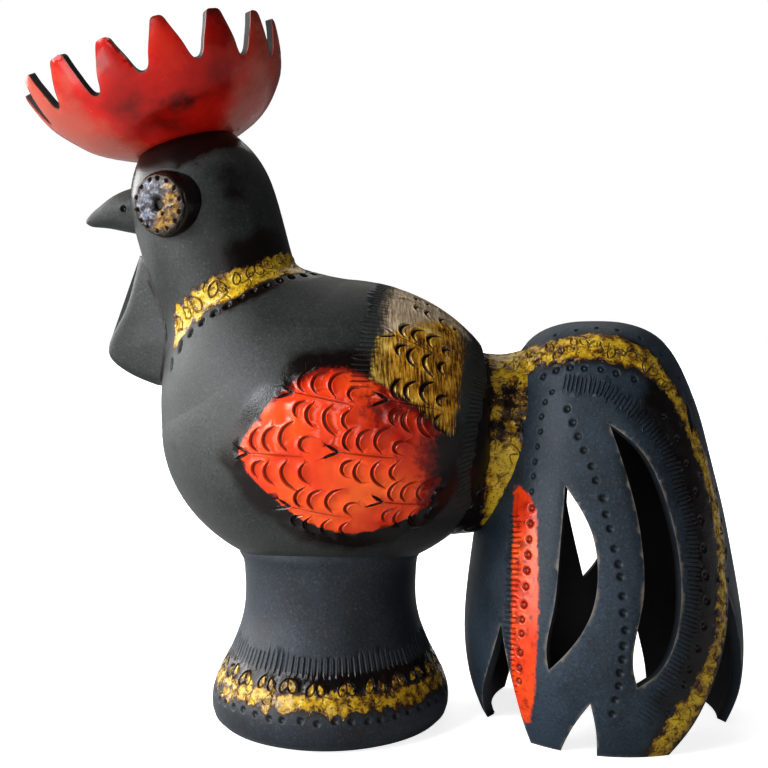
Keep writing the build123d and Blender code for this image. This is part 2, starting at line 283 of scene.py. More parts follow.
    def occupied(self, points, cell):
        """A test for spots that lie within about a cell of the given points."""
        width = int(2 * math.pi * self.flat_radius / cell) + 5
        height = int((self.high - self.low) / cell) + 5
        grid = np.zeros((width, height), bool)
        index = np.floor(self.flat(points) / cell - (0, self.low / cell)).astype(int) + 2
        index = np.clip(index, 1, (width - 2, height - 2))
        for dx in (-1, 0, 1):
            for dy in (-1, 0, 1):
                grid[index[:, 0] + dx, index[:, 1] + dy] = True

        def test(spots):
            at = np.floor(self.flat(spots) / cell - (0, self.low / cell)).astype(int) + 2
            at = np.clip(at, 0, (width - 1, height - 1))
            return grid[at[:, 0], at[:, 1]]

        return test

    def rows(self, grain, low, high):
        spots = []
        levels = np.linspace(low, high, max(2, int(round((high - low) / grain)) + 1))
        for row, rise in enumerate(levels):
            count = max(10, int(2 * math.pi * float(self.form.radius(rise)) / grain))
            turns = self.seam + 360 * (np.arange(count) + 0.5 * (row % 2) + 0.25) / count
            spots.append(np.stack([turns, np.full(count, rise)], 1))
        return np.concatenate(spots), levels

    def off_seam(self, spots, margin):
        """Which spots lie clear of the seam by a margin in degrees."""
        return (spots[:, 0] > self.seam + margin) & (spots[:, 0] < self.seam + 360 - margin)

    def lay_out(self):
        """Triangles over the wall, fine where marks and glaze need it, with the gaps left open."""
        spots, levels = self.rows(self.grain, self.low, self.high)
        spots = spots[self.off_seam(spots, 0.3)]
        fine = []
        for outline, grain in self.zones:
            low = max(outline[:, 1].min(), self.low + 1)
            zone, _ = self.rows(grain, low, min(outline[:, 1].max(), self.high - 1))
            fine.append(zone[is_inside(zone, outline)])
            spots = spots[~is_inside(spots, outline)]
        if fine:
            spots = np.concatenate([spots] + fine)
            spots = spots[self.off_seam(spots, 0.6)]
        if self.marks:
            pressed = np.concatenate([self.mark_points(mark) for mark in self.marks])
            pressed[:, 0] = (pressed[:, 0] - self.seam) % 360 + self.seam
            inside = (pressed[:, 1] > self.low + 0.4) & (pressed[:, 1] < self.high - 0.4)
            pressed = pressed[inside & self.off_seam(pressed, 0.4)]
            cells = np.round(self.flat(pressed) / self.closest).astype(int)
            single = np.unique(cells, axis=0, return_index=True)[1]
            pressed = pressed[np.sort(single)]
            ends = (spots[:, 1] <= self.low) | (spots[:, 1] >= self.high)
            spots = spots[ends | ~self.occupied(pressed, self.mark_clearance)(spots)]
            spots = np.concatenate([spots, pressed])
        links = []
        first = 0
        for gap in self.gaps:
            last = first + len(gap)
            links += [(i, i + 1) for i in range(first, last - 1)]
            if self.low + 1e-6 < gap[0, 1] < self.high - 1e-6:
                links.append((last - 1, first))
            first = last
        if self.gaps:
            taken = self.occupied(np.concatenate(self.gaps), self.cut_clearance)(spots)
            for gap in self.gaps:
                taken |= is_inside(self.flat(spots), self.flat(gap))
            spots = spots[~taken]
        seam_rise = np.concatenate([levels, (levels[:-1] + levels[1:]) / 2])
        seam = [np.stack([np.full(len(seam_rise), self.seam + turn), seam_rise], 1) for turn in (0, 360)]
        flat, faces = triangulate(self.flat(np.concatenate(self.gaps + seam + [spots])), links, 0)
        middle = flat[faces].mean(1)
        for gap in self.gaps:
            outside = ~is_inside(middle, self.flat(gap))
            faces, middle = faces[outside], middle[outside]
        spots = self.unflat(flat)
        return spots[:, 0], spots[:, 1], faces

    def pressed_layout(self):
        """The laid-out triangles with what the marks do to each spot: dent and lip."""
        turn, rise, faces = self.lay_out()
        return turn, rise, faces, *self.relief(turn, rise)


class Piece:
    """Points, faces and painted values of one piece, gathered and then made into an object."""

    paints = ("yellow", "red", "ochre", "wash", "burn", "pressed", "edge", "inside", "around", "along")
    # Metres within which points become one, and degrees from which an edge stays sharp
    weld = 2e-6
    crease = 62

    def __init__(self, name):
        self.name = name
        self.points = []
        self.faces = []
        self.paint = {paint: [] for paint in self.paints}
        self.count = 0

    def add(self, points, faces, **paint):
        first = self.count
        self.points.append(points)
        self.faces += [tuple(int(i) + first for i in face) for face in faces]
        for key in self.paints:
            self.paint[key].append(np.broadcast_to(paint.get(key, 0.0), len(points)).astype(float))
        self.count += len(points)
        return first

    def cap(self, wall, turn, rise, first, level, flip=False):
        """A flat face over the ring of points at one end of a wall."""
        ring = np.flatnonzero((np.abs(rise - level) < 1e-3) & (turn < wall.seam + 359.99))
        ring = ring[np.argsort(turn[ring])]
        face = [int(i) + first for i in ring]
        self.faces.append(tuple(face[::-1] if flip else face))

    def close(self, wall, turn, rise, first):
        """Flat faces over both ends of a wall."""
        self.cap(wall, turn, rise, first, wall.low, flip=True)
        self.cap(wall, turn, rise, first, wall.high)

    def make(self, material):
        mesh = bpy.data.meshes.new(self.name)
        points = np.concatenate(self.points) * mm
        mesh.from_pydata(points.tolist(), [], self.faces)
        for key, values in self.paint.items():
            layer = mesh.attributes.new(key, "FLOAT", "POINT")
            layer.data.foreach_set("value", np.concatenate(values).astype(np.float32))
        shape = bmesh.new()
        shape.from_mesh(mesh)
        bmesh.ops.remove_doubles(shape, verts=shape.verts, dist=self.weld)
        loose = [v for v in shape.verts if not v.link_faces]
        bmesh.ops.delete(shape, geom=loose, context="VERTS")
        shape.to_mesh(mesh)
        shape.free()
        mesh.shade_smooth()
        mesh.set_sharp_from_angle(angle=math.radians(self.crease))
        mesh.materials.append(material)
        made = bpy.data.objects.new(self.name, mesh)
        bpy.context.scene.collection.objects.link(made)
        return made


def lumps(points, size, seed):
    """Smooth uneven heights between about -1 and 1 over the points."""
    spread = Vector((seed * 17.3, seed * 5.1, seed * 9.7))
    return np.array([noise.noise(Vector(p) / size + spread) for p in points])


class Finish:
    """A material under the hand of a glazer: each method adds one node and gives its output."""

    def __init__(self, name):
        self.material = bpy.data.materials.new(name)
        self.material.use_nodes = True
        self.tree = self.material.node_tree
        self.shader = self.tree.nodes["Principled BSDF"]
        self.place = self.tree.nodes.new("ShaderNodeTexCoord").outputs["Object"]

    def put(self, socket, value):
        if isinstance(value, bpy.types.NodeSocket):
            self.tree.links.new(value, socket)
        elif isinstance(value, tuple) and len(value) == 3 and socket.type == "RGBA":
            socket.default_value = (*value, 1.0)
        else:
            socket.default_value = value

    def painted(self, name):
        attribute = self.tree.nodes.new("ShaderNodeAttribute")
        attribute.attribute_name = name
        return attribute.outputs["Fac"]

    def grain(self, size, detail=3.0, rough=0.55, place=None):
        """Cloudy values from 0 to 1 whose patches are about a size in millimetres."""
        cloud = self.tree.nodes.new("ShaderNodeTexNoise")
        self.put(cloud.inputs["Vector"], place or self.place)
        cloud.inputs["Scale"].default_value = 1000.0 / size
        cloud.inputs["Detail"].default_value = detail
        cloud.inputs["Roughness"].default_value = rough
        return cloud.outputs["Fac"]

    def sum(self, first, second, kind="ADD"):
        step = self.tree.nodes.new("ShaderNodeMath")
        step.operation = kind
        self.put(step.inputs[0], first)
        self.put(step.inputs[1], second)
        return step.outputs[0]

    def times(self, first, second):
        return self.sum(first, second, "MULTIPLY")

    def uneven(self, size, detail=3.0, rough=0.55):
        """Cloudy values about nought."""
        return self.sum(self.grain(size, detail, rough), -0.5)

    def spread(self, value, low, high, to_low=0.0, to_high=1.0):
        """A soft step: one value range stretched to another and held at its ends."""
        step = self.tree.nodes.new("ShaderNodeMapRange")
        step.interpolation_type = "SMOOTHSTEP"
        self.put(step.inputs["Value"], value)
        for key, number in (("From Min", low), ("From Max", high), ("To Min", to_low), ("To Max", to_high)):
            step.inputs[key].default_value = number
        return step.outputs["Result"]

    def blend(self, share, first, second):
        mix = self.tree.nodes.new("ShaderNodeMix")
        mix.data_type = "RGBA"
        self.put(mix.inputs["Factor"], share)
        self.put(mix.inputs["A"], first)
        self.put(mix.inputs["B"], second)
        return mix.outputs["Result"]

    def tones(self, value, *stops):
        ramp = self.tree.nodes.new("ShaderNodeValToRGB")
        self.put(ramp.inputs["Fac"], value)
        while len(ramp.color_ramp.elements) < len(stops):
            ramp.color_ramp.elements.new(1.0)
        for element, (at, colour) in zip(ramp.color_ramp.elements, stops):
            element.position = at
            element.color = (*colour, 1.0)
        return ramp.outputs["Color"]

    def bump(self, height, strength, depth, under=None):
        bump = self.tree.nodes.new("ShaderNodeBump")
        self.put(bump.inputs["Strength"], strength)
        bump.inputs["Distance"].default_value = depth * mm
        self.put(bump.inputs["Height"], height)
        if under is not None:
            self.put(bump.inputs["Normal"], under)
        return bump.outputs["Normal"]

    def done(self, colour, roughness, normal):
        self.put(self.shader.inputs["Base Color"], colour)
        self.put(self.shader.inputs["Roughness"], roughness)
        self.put(self.shader.inputs["Normal"], normal)
        return self.material


def clay_finish(name, deep, pale):
    """Black-fired clay with yellow, red and brushed ochre glaze wherever these are painted on the piece."""
    finish = Finish(name)
    blend, spread, tones, times = finish.blend, finish.spread, finish.tones, finish.times
    grain, uneven, painted = finish.grain, finish.uneven, finish.painted
    finish.shader.inputs["Specular IOR Level"].default_value = 0.36
    pressed = painted("pressed")
    speck = grain(1.4, 3, 0.65)
    clay = blend(spread(grain(60, 6, 0.62), 0.3, 0.7), deep, pale)
    dusty = tuple(2.2 * c + 0.008 for c in pale)
    pitted = tuple(0.35 * c for c in deep)
    clay = blend(spread(speck, 0.52, 0.74, 0, 0.42), clay, dusty)
    clay = blend(spread(speck, 0.28, 0.46, 0.7, 0), clay, pitted)
    # Painted shade: pressed marks in the bare clay are painted near black, for the shade in their hollows.
    clay = blend(times(pressed, 0.75), clay, (0.005, 0.005, 0.005))
    cut = times(painted("edge"), grain(9, 3))
    clay = blend(spread(cut, 0.22, 0.6, 0, 0.8), clay, (0.21, 0.175, 0.14))
    # Painted shade: the inner walls of hollow pieces and the deep part of their cuts are painted near black,
    # for the shade inside them.
    clay = blend(painted("inside"), clay, (0.005, 0.005, 0.006))

    burn = spread(finish.sum(painted("burn"), grain(14, 4)), 0.55, 1.15)
    smoke = blend(grain(9, 3), (0.0015, 0.0015, 0.0015), (0.011, 0.0048, 0.0038))
    clay = blend(burn, clay, smoke)

    mottle = grain(5.0, 5, 0.68)
    blot = times(uneven(8.0, 3, 0.6), 1.4)
    fine = times(uneven(2.2, 4, 0.7), 0.9)
    laid = finish.sum(finish.sum(times(painted("yellow"), 0.88), blot), fine)
    scorched = spread(laid, 0.26, 0.42)
    yellow = spread(laid, 0.46, 0.58)
    thick = times(finish.sum(laid, -0.85), 0.28)
    yellow_glaze = tones(
        finish.sum(mottle, thick),
        (0.31, (0.030, 0.013, 0.006)),
        (0.41, (0.15, 0.074, 0.010)),
        (0.49, (0.38, 0.232, 0.016)),
        (0.66, (0.58, 0.405, 0.030)),
    )
    freckle = spread(grain(1.3, 2), 0.57, 0.66, 0, 0.75)
    yellow_glaze = blend(freckle, yellow_glaze, (0.06, 0.026, 0.008))
    # Pressed marks in the yellow glaze go dark brown: glaze pooled there, and painted shade in the hollows.
    yellow_glaze = blend(times(pressed, 0.75), yellow_glaze, (0.034, 0.015, 0.007))
    colour = blend(scorched, clay, (0.024, 0.011, 0.006))
    colour = blend(yellow, colour, yellow_glaze)

    lay = finish.tree.nodes.new("ShaderNodeCombineXYZ")
    finish.put(lay.inputs[0], times(painted("around"), 0.00012))
    finish.put(lay.inputs[1], times(painted("along"), 0.001))
    streak = grain(1.2, 4, 0.7, lay.outputs[0])
    wash = spread(finish.sum(painted("wash"), finish.sum(streak, -0.5)), 0.1, 0.75, 0, 0.95)
    washed = blend(spread(streak, 0.35, 0.65), (0.27, 0.19, 0.115), (0.68, 0.54, 0.37))
    # Pressed marks in the brown wash go near black: pooled wash, and painted shade in the hollows.
    washed = blend(pressed, washed, (0.010, 0.007, 0.006))
    colour = blend(wash, colour, washed)
    ochre = spread(finish.sum(painted("ochre"), finish.sum(streak, -0.5)), 0.36, 0.62)
    tone = finish.sum(times(streak, 1.1), times(grain(11, 3), 0.75))
    tone = finish.sum(tone, -0.40)
    khaki = tones(
        tone,
        (0.36, (0.08, 0.042, 0.010)),
        (0.47, (0.28, 0.175, 0.032)),
        (0.58, (0.44, 0.32, 0.085)),
        (0.72, (0.62, 0.52, 0.23)),
    )
    amber = tones(
        tone,
        (0.36, (0.035, 0.014, 0.004)),
        (0.45, (0.23, 0.098, 0.008)),
        (0.56, (0.50, 0.25, 0.016)),
        (0.74, (0.70, 0.47, 0.09)),
    )
    drift = spread(painted("along"), 170, 192)
    ochre_glaze = blend(drift, khaki, amber)
    # Pressed marks in the ochre glaze go near black: pooled glaze, and painted shade in the hollows.
    ochre_glaze = blend(pressed, ochre_glaze, (0.007, 0.005, 0.005))

    spray = times(uneven(2.2, 4, 0.7), 0.6)
    red = spread(finish.sum(painted("red"), spray), 0.38, 0.62)
    red_glaze = tones(
        grain(34, 4),
        (0.27, (0.38, 0.018, 0.005)),
        (0.47, (0.63, 0.056, 0.009)),
        (0.72, (0.76, 0.135, 0.022)),
    )
    # Pressed marks in the red glaze go deep red: pooled glaze, and painted shade in the hollows.
    red_glaze = blend(times(pressed, 0.9), red_glaze, (0.12, 0.010, 0.006))
    singe = finish.sum(painted("burn"), uneven(5, 4, 0.68))
    red_glaze = blend(spread(singe, 0.16, 0.5), red_glaze, (0.19, 0.010, 0.005))
    red_glaze = blend(spread(singe, 0.48, 0.85), red_glaze, (0.012, 0.005, 0.004))
    colour = blend(red, colour, red_glaze)
    colour = blend(ochre, colour, ochre_glaze)

    glazed = finish.sum(finish.sum(red, yellow, "MAXIMUM"), ochre, "MAXIMUM")
    shine = spread(grain(30, 4), 0.3, 0.7, 0.44, 0.56)
    gloss = blend(times(burn, 0.9), shine, (0.17, 0.17, 0.17))
    gloss = blend(glazed, gloss, (0.22, 0.22, 0.22))
    tooth_strength = spread(glazed, 0.0, 1.0, 0.5, 0.08)
    tooth = finish.bump(finish.sum(speck, grain(0.6, 2)), tooth_strength, 0.18)
    normal = finish.bump(times(mottle, yellow), 0.6, 0.6, tooth)
    return finish.done(colour, gloss, normal)


blue_black_clay = clay_finish("blue_black_clay", (0.0125, 0.0165, 0.0210), (0.0310, 0.0395, 0.0505))

foot_outline = [
    (62.0, 0.0), (67.8, 3.2), (70.1, 10.2), (69.4, 18.0), (67.0, 25.0), (60.3, 38.0),
    (54.4, 52.0), (51.1, 66.0), (50.6, 75.0), (51.1, 87.6), (53.0, 110.0),
]
foot_inside = [
    (62.0, 0.0), (60.5, 0.0), (56.5, 0.0), (55.2, 1.0), (61.4, 5.5), (62.8, 11.5),
    (56.5, 32.6), (47.5, 51.0), (43.4, 75.0), (45.0, 110.0), (53.0, 110.0),
]
foot_origin = (-32.3, 0, 0)
foot_form = turned(foot_origin, (0, 0, 1), (-1, 0, 0), smooth_line(foot_outline, 0.5))
foot_wall = ClayWall(foot_form, 4.0)
tick_half_length = 4.1
tick_half_width = 0.72
tick_depth = 0.8
tick_count = 108
for tick in range(tick_count):
    turn = -180 + 360 * (tick + 0.5) / tick_count
    middle = 52.4 - 1.4 * abs(math.sin(math.radians(turn))) + 0.5 * math.sin(math.radians(turn * 7))
    foot_wall.press_tick(turn, middle, tick_half_length, tick_half_width, tick_depth * rng.uniform(0.55, 1.0))
hem_dot_count = 48
hem_dot_rise = 22.3
for dot in range(hem_dot_count):
    turn = -180 + 360 * (dot + 0.5) / hem_dot_count + rng.uniform(-0.9, 0.9)
    foot_wall.press_hole(turn, hem_dot_rise + rng.uniform(-0.8, 0.8), 1.75, 1.0)
petal_count = 50
petal_rise = 36.8
for number in range(petal_count):
    turn = -180 + 360 * (number + 0.5) / petal_count + rng.uniform(-1.2, 1.2)
    lean = (22 if number % 2 else -18) + rng.uniform(-9, 9)
    foot_wall.press_petal(turn, petal_rise + rng.uniform(-1.0, 1.0), lean, rng.uniform(0.9, 1.12))


def random_hook(near, bow, far, end):
    """A short bent scratch, each of its numbers drawn between two limits."""
    bend = (rng.uniform(*near), rng.uniform(*bow))
    return smooth_line([(0, 0), bend, (rng.uniform(*far), rng.uniform(*end))], 0.9)


for scratch in range(80):
    turn = rng.uniform(-178, 178)
    rise = rng.uniform(27, 35)
    hook = random_hook((1, 3), (1, 2.5), (2, 5), (-1, 2))
    foot_wall.press_shape(turn, rise, rng.uniform(0, 360), hook, 0.45, 0.5)
band_grain = 1.7
foot_wall.zones.append((np.array([(-179, 24), (179, 24), (179, 45), (-179, 45)], float), band_grain))
turn, rise, faces, dent, lip = foot_wall.pressed_layout()
skin = foot_form.skin(turn, rise)
blobs = 3.6 * np.abs(np.sin(np.radians(turn * 22.5))) ** 0.6 + 0.8 * np.sin(np.radians(turn * 11 + 60))
yellow = held(0.5 + np.minimum(rise - 28.0 + blobs, 37.5 - rise) / 8)
yellow *= 0.9 + 0.25 * lumps(skin, 5.0, 13)
yellow = np.maximum(yellow, 0.8 * foot_wall.petal_fill(turn, rise))
lump = lumps(skin, 4.0, 1) * 0.5 * held(yellow * 2 - 0.6)
# The slip that holds the foot to the belly is smoothed into a small fillet
joint = 98.5 + 3.2 * np.sin(np.radians(turn)) ** 2
fillet = 2.4 * hump((joint - skin[:, 2]) / 3.4)
foot_piece = Piece("thrown_foot")
foot_piece.add(
    foot_form.lifted(turn, rise, dent + lip + lump + fillet),
    faces,
    yellow=yellow,
    pressed=held(-dent / 0.7),
    burn=0.85 * held(1.4 - np.abs(rise - 42) / 6),
)
foot_hollow = turned(foot_origin, (0, 0, 1), (-1, 0, 0), foot_inside)
hollow_wall = ClayWall(foot_hollow, 5.0)
turn, rise, faces = hollow_wall.lay_out()
# Painted shade: the inside of the foot is painted darker the deeper it goes, for the shade in the hollow.
foot_piece.add(foot_hollow.skin(turn, rise), faces[:, ::-1], inside=np.clip((rise - 12) / 25, 0, 0.8))
foot = foot_piece.make(blue_black_clay)
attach(foot, "root")
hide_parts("foot")

# Body: a closed egg thrown in two halves and laid on its side, the largest hollow of the piece.
# A roulette ring runs over the back and another round the tail end; each flank has a wing patch of
# orange-red glaze with a brushed ochre field above it, over feathers pressed with one carved stamp.
black_clay = clay_finish("black_clay", (0.0172, 0.0186, 0.0186), (0.0405, 0.0432, 0.0418))
body_center = np.array([-29.4, 0, 171.9])
body_tilt = math.radians(-1.7)
body_along = np.array([math.cos(body_tilt), 0, -math.sin(body_tilt)])
body_top = np.array([math.sin(body_tilt), 0, math.cos(body_tilt)])
body_half_length = 102.8
body_radius = 87.1
body_rear_flat = 88.0
sweep = np.linspace(0.012, 2.63, 520)
egg = np.stack([body_radius * np.sin(sweep), -body_half_length * np.cos(sweep)], 1)
egg = egg[egg[:, 1] < body_rear_flat]
body_form = turned(body_center, body_along, body_top, egg)
body_wall = ClayWall(body_form, 5.0)


def read_off(table, at):
    """Second column of a table, read at values of its first."""
    return np.interp(at, table[:, 0], table[:, 1])


back_ring = np.array([(0, 182.5), (13.5, 181.5), (37.5, 177), (54, 171.5), (68, 166.5), (80, 163)])
for turn in np.arange(-73.8, 74, 1.95):
    rise = float(read_off(back_ring, abs(turn)))
    body_wall.press_tick(turn, rise, tick_half_length, tick_half_width, tick_depth * rng.uniform(0.7, 1.0))
tail_ring = np.array(
    [(0, 247), (49.5, 245.5), (68.5, 239.5), (81.5, 235), (93, 231),
     (104, 228.5), (115, 225.5), (140.5, 228.5), (180, 232)]
)
for turn in np.arange(-179, 179, 2.6):
    rise = min(float(read_off(tail_ring, abs(turn))), body_form.length - 4.4)
    body_wall.press_tick(turn, rise, 3.6, 0.66, 0.75 * rng.uniform(0.6, 1.0))
fork = [[(-6.7, 3.4), (-3.0, 1.6), (0, 0)], [(-8.6, -3.5), (-4, -1.5), (0, 0)]]
stem = [(0, 0), (9, -0.9), (18, -1.9), (30, -3.0)]
barbs = [
    [(6.6, 12.6), (2.6, 8.5), (2.4, 4.0), (5.6, 0.9)],
    [(15.8, 12.5), (10.2, 9.1), (9.4, 4.2), (12.4, 0.3)],
    [(26.4, 14.0), (20.0, 10.5), (18.4, 5.1), (21.8, 0.2)],
    [(34.2, 6.2), (29.8, 5.1), (28.5, 2.0), (31.0, -0.8)],
    [(7.2, -4.1), (2.0, -6.7), (1.6, -10.0), (3.4, -12.7)],
    [(11.0, -4.6), (8.2, -8.8), (9.0, -13.4), (12.4, -16.5)],
    [(21.2, -4.6), (17.6, -8.9), (18.6, -14.8), (24.3, -19.8)],
    [(30.4, -6.2), (27.4, -9.6), (27.6, -13.0), (30.6, -16.0)],
]
feathers = [
    (73.9, 131.0, -8.0), (95.3, 105.3, 3.5), (95.0, 154.0, -4.0), (115.3, 127.0, -7.0),
    (115.0, 176.0, -12.5), (77.2, 180.5, -3.0), (50.2, 186.0, -8.5), (22.0, 197.0, 0.0),
]
for turn, rise, heading in feathers:
    for side in (1, -1):
        barb_half, barb_depth = (1.35, 1.75) if rise > 178 else (1.0, 1.4)
        lines = [(prong, 0.95, 1.3) for prong in fork] + [(stem, 0.6, 0.55)]
        lines += [(barb, barb_half, barb_depth) for barb in barbs]
        for shape, half_width, depth in lines:
            drawn = smooth_line(shape, 0.9) * (1, side)
            body_wall.press_shape(turn * side, rise, heading * side, drawn, half_width, depth, "barb")
wing_outline = [
    (95, 98.5), (89, 103), (83, 110.5), (77, 116.5), (73.5, 124.5), (68.5, 133.5), (65.5, 146),
    (65.5, 159), (68.5, 170), (72, 179.5), (78.5, 197), (89.5, 213), (100, 211), (106.5, 210.5),
    (116, 208.5), (122.5, 201), (125.5, 189), (127.5, 175), (128, 158.5), (125.5, 145.5),
    (121, 132.5), (115, 122), (109.5, 112.5), (104, 104.5),
]
ochre_outline = [
    (52, 175), (64.5, 171), (69.5, 171), (71.5, 179.5), (78.5, 197), (89.5, 213),
    (92, 217.5), (68, 225), (44.5, 230.5), (28, 226.5), (30.5, 215.5), (47, 189.5),
]
brown_outline = [
    (0, 190), (18.5, 186), (37, 181), (50, 181), (47, 200),
    (32, 219), (30, 230), (27, 236), (4.5, 226), (0, 224),
]


def within(wall, turn, rise, outline, soft):
    """Cover of a glaze painted inside an outline: a half on its edge, one well inside."""
    spots = wall.flat(np.stack([turn, rise], 1))
    ring = wall.flat(np.array(outline, float))
    closed = np.concatenate([ring, ring[:1]])
    reach = np.where(is_inside(spots, ring), 1, -1) * nearest(spots, closed)[0]
    return held(0.5 + reach / (2 * soft))


turn, rise, faces, dent, lip = body_wall.pressed_layout()
mirrored = np.abs(turn)


def on_flank(outline, soft):
    """Cover of a glaze laid alike on both flanks."""
    return within(body_wall, mirrored, rise, outline, soft)


wing = on_flank(wing_outline, 2.6)
sprayed_top = on_flank(wing_outline, 6.0)
wing += (sprayed_top - wing) * held((80 - mirrored) / 8)
halo = within(body_wall, mirrored - 1.0, rise - 1.0, wing_outline, 18.0)
ochre = on_flank(ochre_outline, 2.6)
brushed_out = on_flank(ochre_outline, 13.0)
ochre += (brushed_out - ochre) * held((60 - mirrored) / 14) * held((rise - 178) / 10)
ragged_foot = on_flank(ochre_outline, 8.0)
ochre += (ragged_foot - ochre) * held((mirrored - 66) / 6) * held((rise - 172) / 8)
wing_rim = 1 - held(2 * sprayed_top - 1)
singed_top = 0.6 * wing_rim * held((84 - mirrored) / 10)
singed_end = 0.85 * held((rise - 189) / 20) * held((mirrored - 84) / 10)
singed_corner = 0.5 * hump((mirrored - 79) / 10, (rise - 179) / 16)
under_ochre = held(2 * on_flank(ochre_outline, 10.0))
singed_seam = 0.95 * under_ochre * held((rise - 174) / 12)
pressed = held(-dent / 0.8)
forks = np.zeros(len(turn))
for fork_turn, fork_rise, _ in feathers:
    off_fork = np.hypot((mirrored - fork_turn) * body_radius * math.pi / 180, rise - fork_rise + 3.0)
    forks = np.maximum(forks, held(1.7 - off_fork / 6))
singed = np.max([singed_top, singed_end, singed_corner, singed_seam, forks * (0.16 + 1.1 * pressed)], axis=0)
# Painted shade: past the roulette ring at the tail end the body is painted smoke-dark, for the shade in the
# crevice under the collar.
tail_joint_painted_shade = held((rise - read_off(tail_ring, mirrored) - 4.0) / 2.5)
outside_wing = held(2.2 * halo) * (1 - wing)
puff = 0.45 * held(wing * 2 - 1)
body_piece = Piece("thrown_body")
first = body_piece.add(
    body_form.lifted(turn, rise, dent + lip + puff),
    faces,
    red=wing * (1 - 0.75 * held(ochre * 2 - 0.9)),
    ochre=ochre,
    wash=on_flank(brown_outline, 7.0),
    burn=np.maximum(np.where(wing > 0.5, singed, outside_wing), tail_joint_painted_shade),
    pressed=pressed,
    around=np.radians(turn) * 85,
    along=rise,
)
body_piece.close(body_wall, turn, rise, first)
body = body_piece.make(black_clay)
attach(body, "root")
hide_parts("body")

# Neck and head: one bullet thrown on the wheel, leaning forward, flared where it stands on the body.
# A collar of yellow glaze over pressed petals runs round its base above a row of tube marks.
# The clay is smoked to a dark gloss under the comb.
neck_lean_degrees = 16.5
neck_lean = math.radians(neck_lean_degrees)
neck_up = np.array([-math.sin(neck_lean), 0, math.cos(neck_lean)])
neck_front = np.array([-math.cos(neck_lean), 0, -math.sin(neck_lean)])
neck_top = np.array([-118.95, 0, 338.2])
head_rings = [(29.0, 0.0), (36.0, 11.0), (41.8, 28.0), (43.1, 46.0), (42.3, 77.0)]
neck_rings = [(-77.0, 214.0, 38.0, 60.0), (-85.5, 226.6, 35.6, 57.0), (-90.95, 246.6, 28.4, 43.8)]
for ring_radius, depth in head_rings[::-1]:
    at = neck_top - neck_up * depth
    neck_rings.append((at[0], at[2], neck_lean_degrees, ring_radius))
neck_rings = smooth_line(neck_rings, 0.5)


def leaning(center, lean, radius):
    """Form of round rings, each leaning to the front by its own angle in radians."""
    front = np.stack([-np.cos(lean), 0 * lean, -np.sin(lean)], 1)
    return Form(center, front, (0, -1, 0), radius, radius)


def in_middle(x, z):
    """Points on the plane through the middle of the bird."""
    return np.stack([x, 0 * x, z], 1)


neck_middle = in_middle(neck_rings[:, 0], neck_rings[:, 1])
neck_form = leaning(neck_middle, np.radians(neck_rings[:, 2]), neck_rings[:, 3])
neck_wall = ClayWall(neck_form, 3.5)
collar_dots = np.array(
    [(0, 20), (41.5, 24.5), (48, 27.5), (54.5, 29.5), (63, 31), (75, 33.5), (85, 33.5), (97, 32.5),
     (119.5, 32), (131, 30), (143, 28.5), (154, 24.5), (164.5, 22.5), (180, 21)]
)
collar_top = np.array(
    [(0, 38), (31, 45), (62.5, 49.5), (82, 54), (119, 54), (135.5, 56), (149.5, 58), (180, 58)]
)
wattle_groove = [(12.5, 78), (20.0, 70.5), (19.8, 63.5), (20.3, 55), (20.5, 47), (24.5, 34.5)]
for side in (1, -1):
    for turn in np.arange(41.5, 180, 10.3):
        rise = float(read_off(collar_dots, turn))
        neck_wall.press_hole(side * turn, rise + rng.uniform(-0.5, 0.5), 2.1, 1.9)
    for turn in np.arange(50, 176, 10.8):
        low = float(read_off(collar_dots, turn))
        high = float(read_off(collar_top, turn))
        lean_over = rng.uniform(-45, 45)
        neck_wall.press_petal(side * turn, high - 9.5 + rng.uniform(-2, 1), lean_over, rng.uniform(0.95, 1.3))
        for scratch in range(2):
            hook = random_hook((2, 4), (1.5, 3), (4, 7), (-2, 2))
            start = rng.uniform(low + 6, high - 6)
            spin = rng.uniform(0, 360)
            neck_wall.press_shape(side * (turn + rng.uniform(-5, 5)), start, spin, hook, 0.5, 0.6)
    neck_wall.press_line(smooth_line(wattle_groove, 1.2) * (side, 1), 1.1, 1.3)
band = [
    (34, 26), (50, 29), (98, 34), (143, 30), (179, 24),
    (179, 58), (120, 56), (84, 55), (65, 52), (34, 46),
]
for side in (1, -1):
    neck_wall.zones.append((np.array(band, float) * (side, 1), band_grain))
turn, rise, faces, dent, lip = neck_wall.pressed_layout()


def on_body(points, share):
    """Points moved towards the body's centre, or away from it, until they lie on a share of its skin."""
    offset = points - body_center
    along = offset @ body_along
    across = np.linalg.norm(offset - np.outer(along, body_along), axis=1)
    return body_center + offset * (share / np.hypot(along / body_half_length, across / body_radius))[:, None]


def along_body(way, points):
    """Directions laid along the body's skin at the points."""
    offset = points - body_center
    squeeze = (offset @ body_along) * (body_half_length**-2 - body_radius**-2)
    normal = offset / body_radius**2 + np.outer(squeeze, body_along)
    normal /= np.linalg.norm(normal, axis=1, keepdims=True)
    flat_way = way - normal * (way * normal).sum(1)[:, None]
    return flat_way / np.linalg.norm(flat_way, axis=1, keepdims=True)


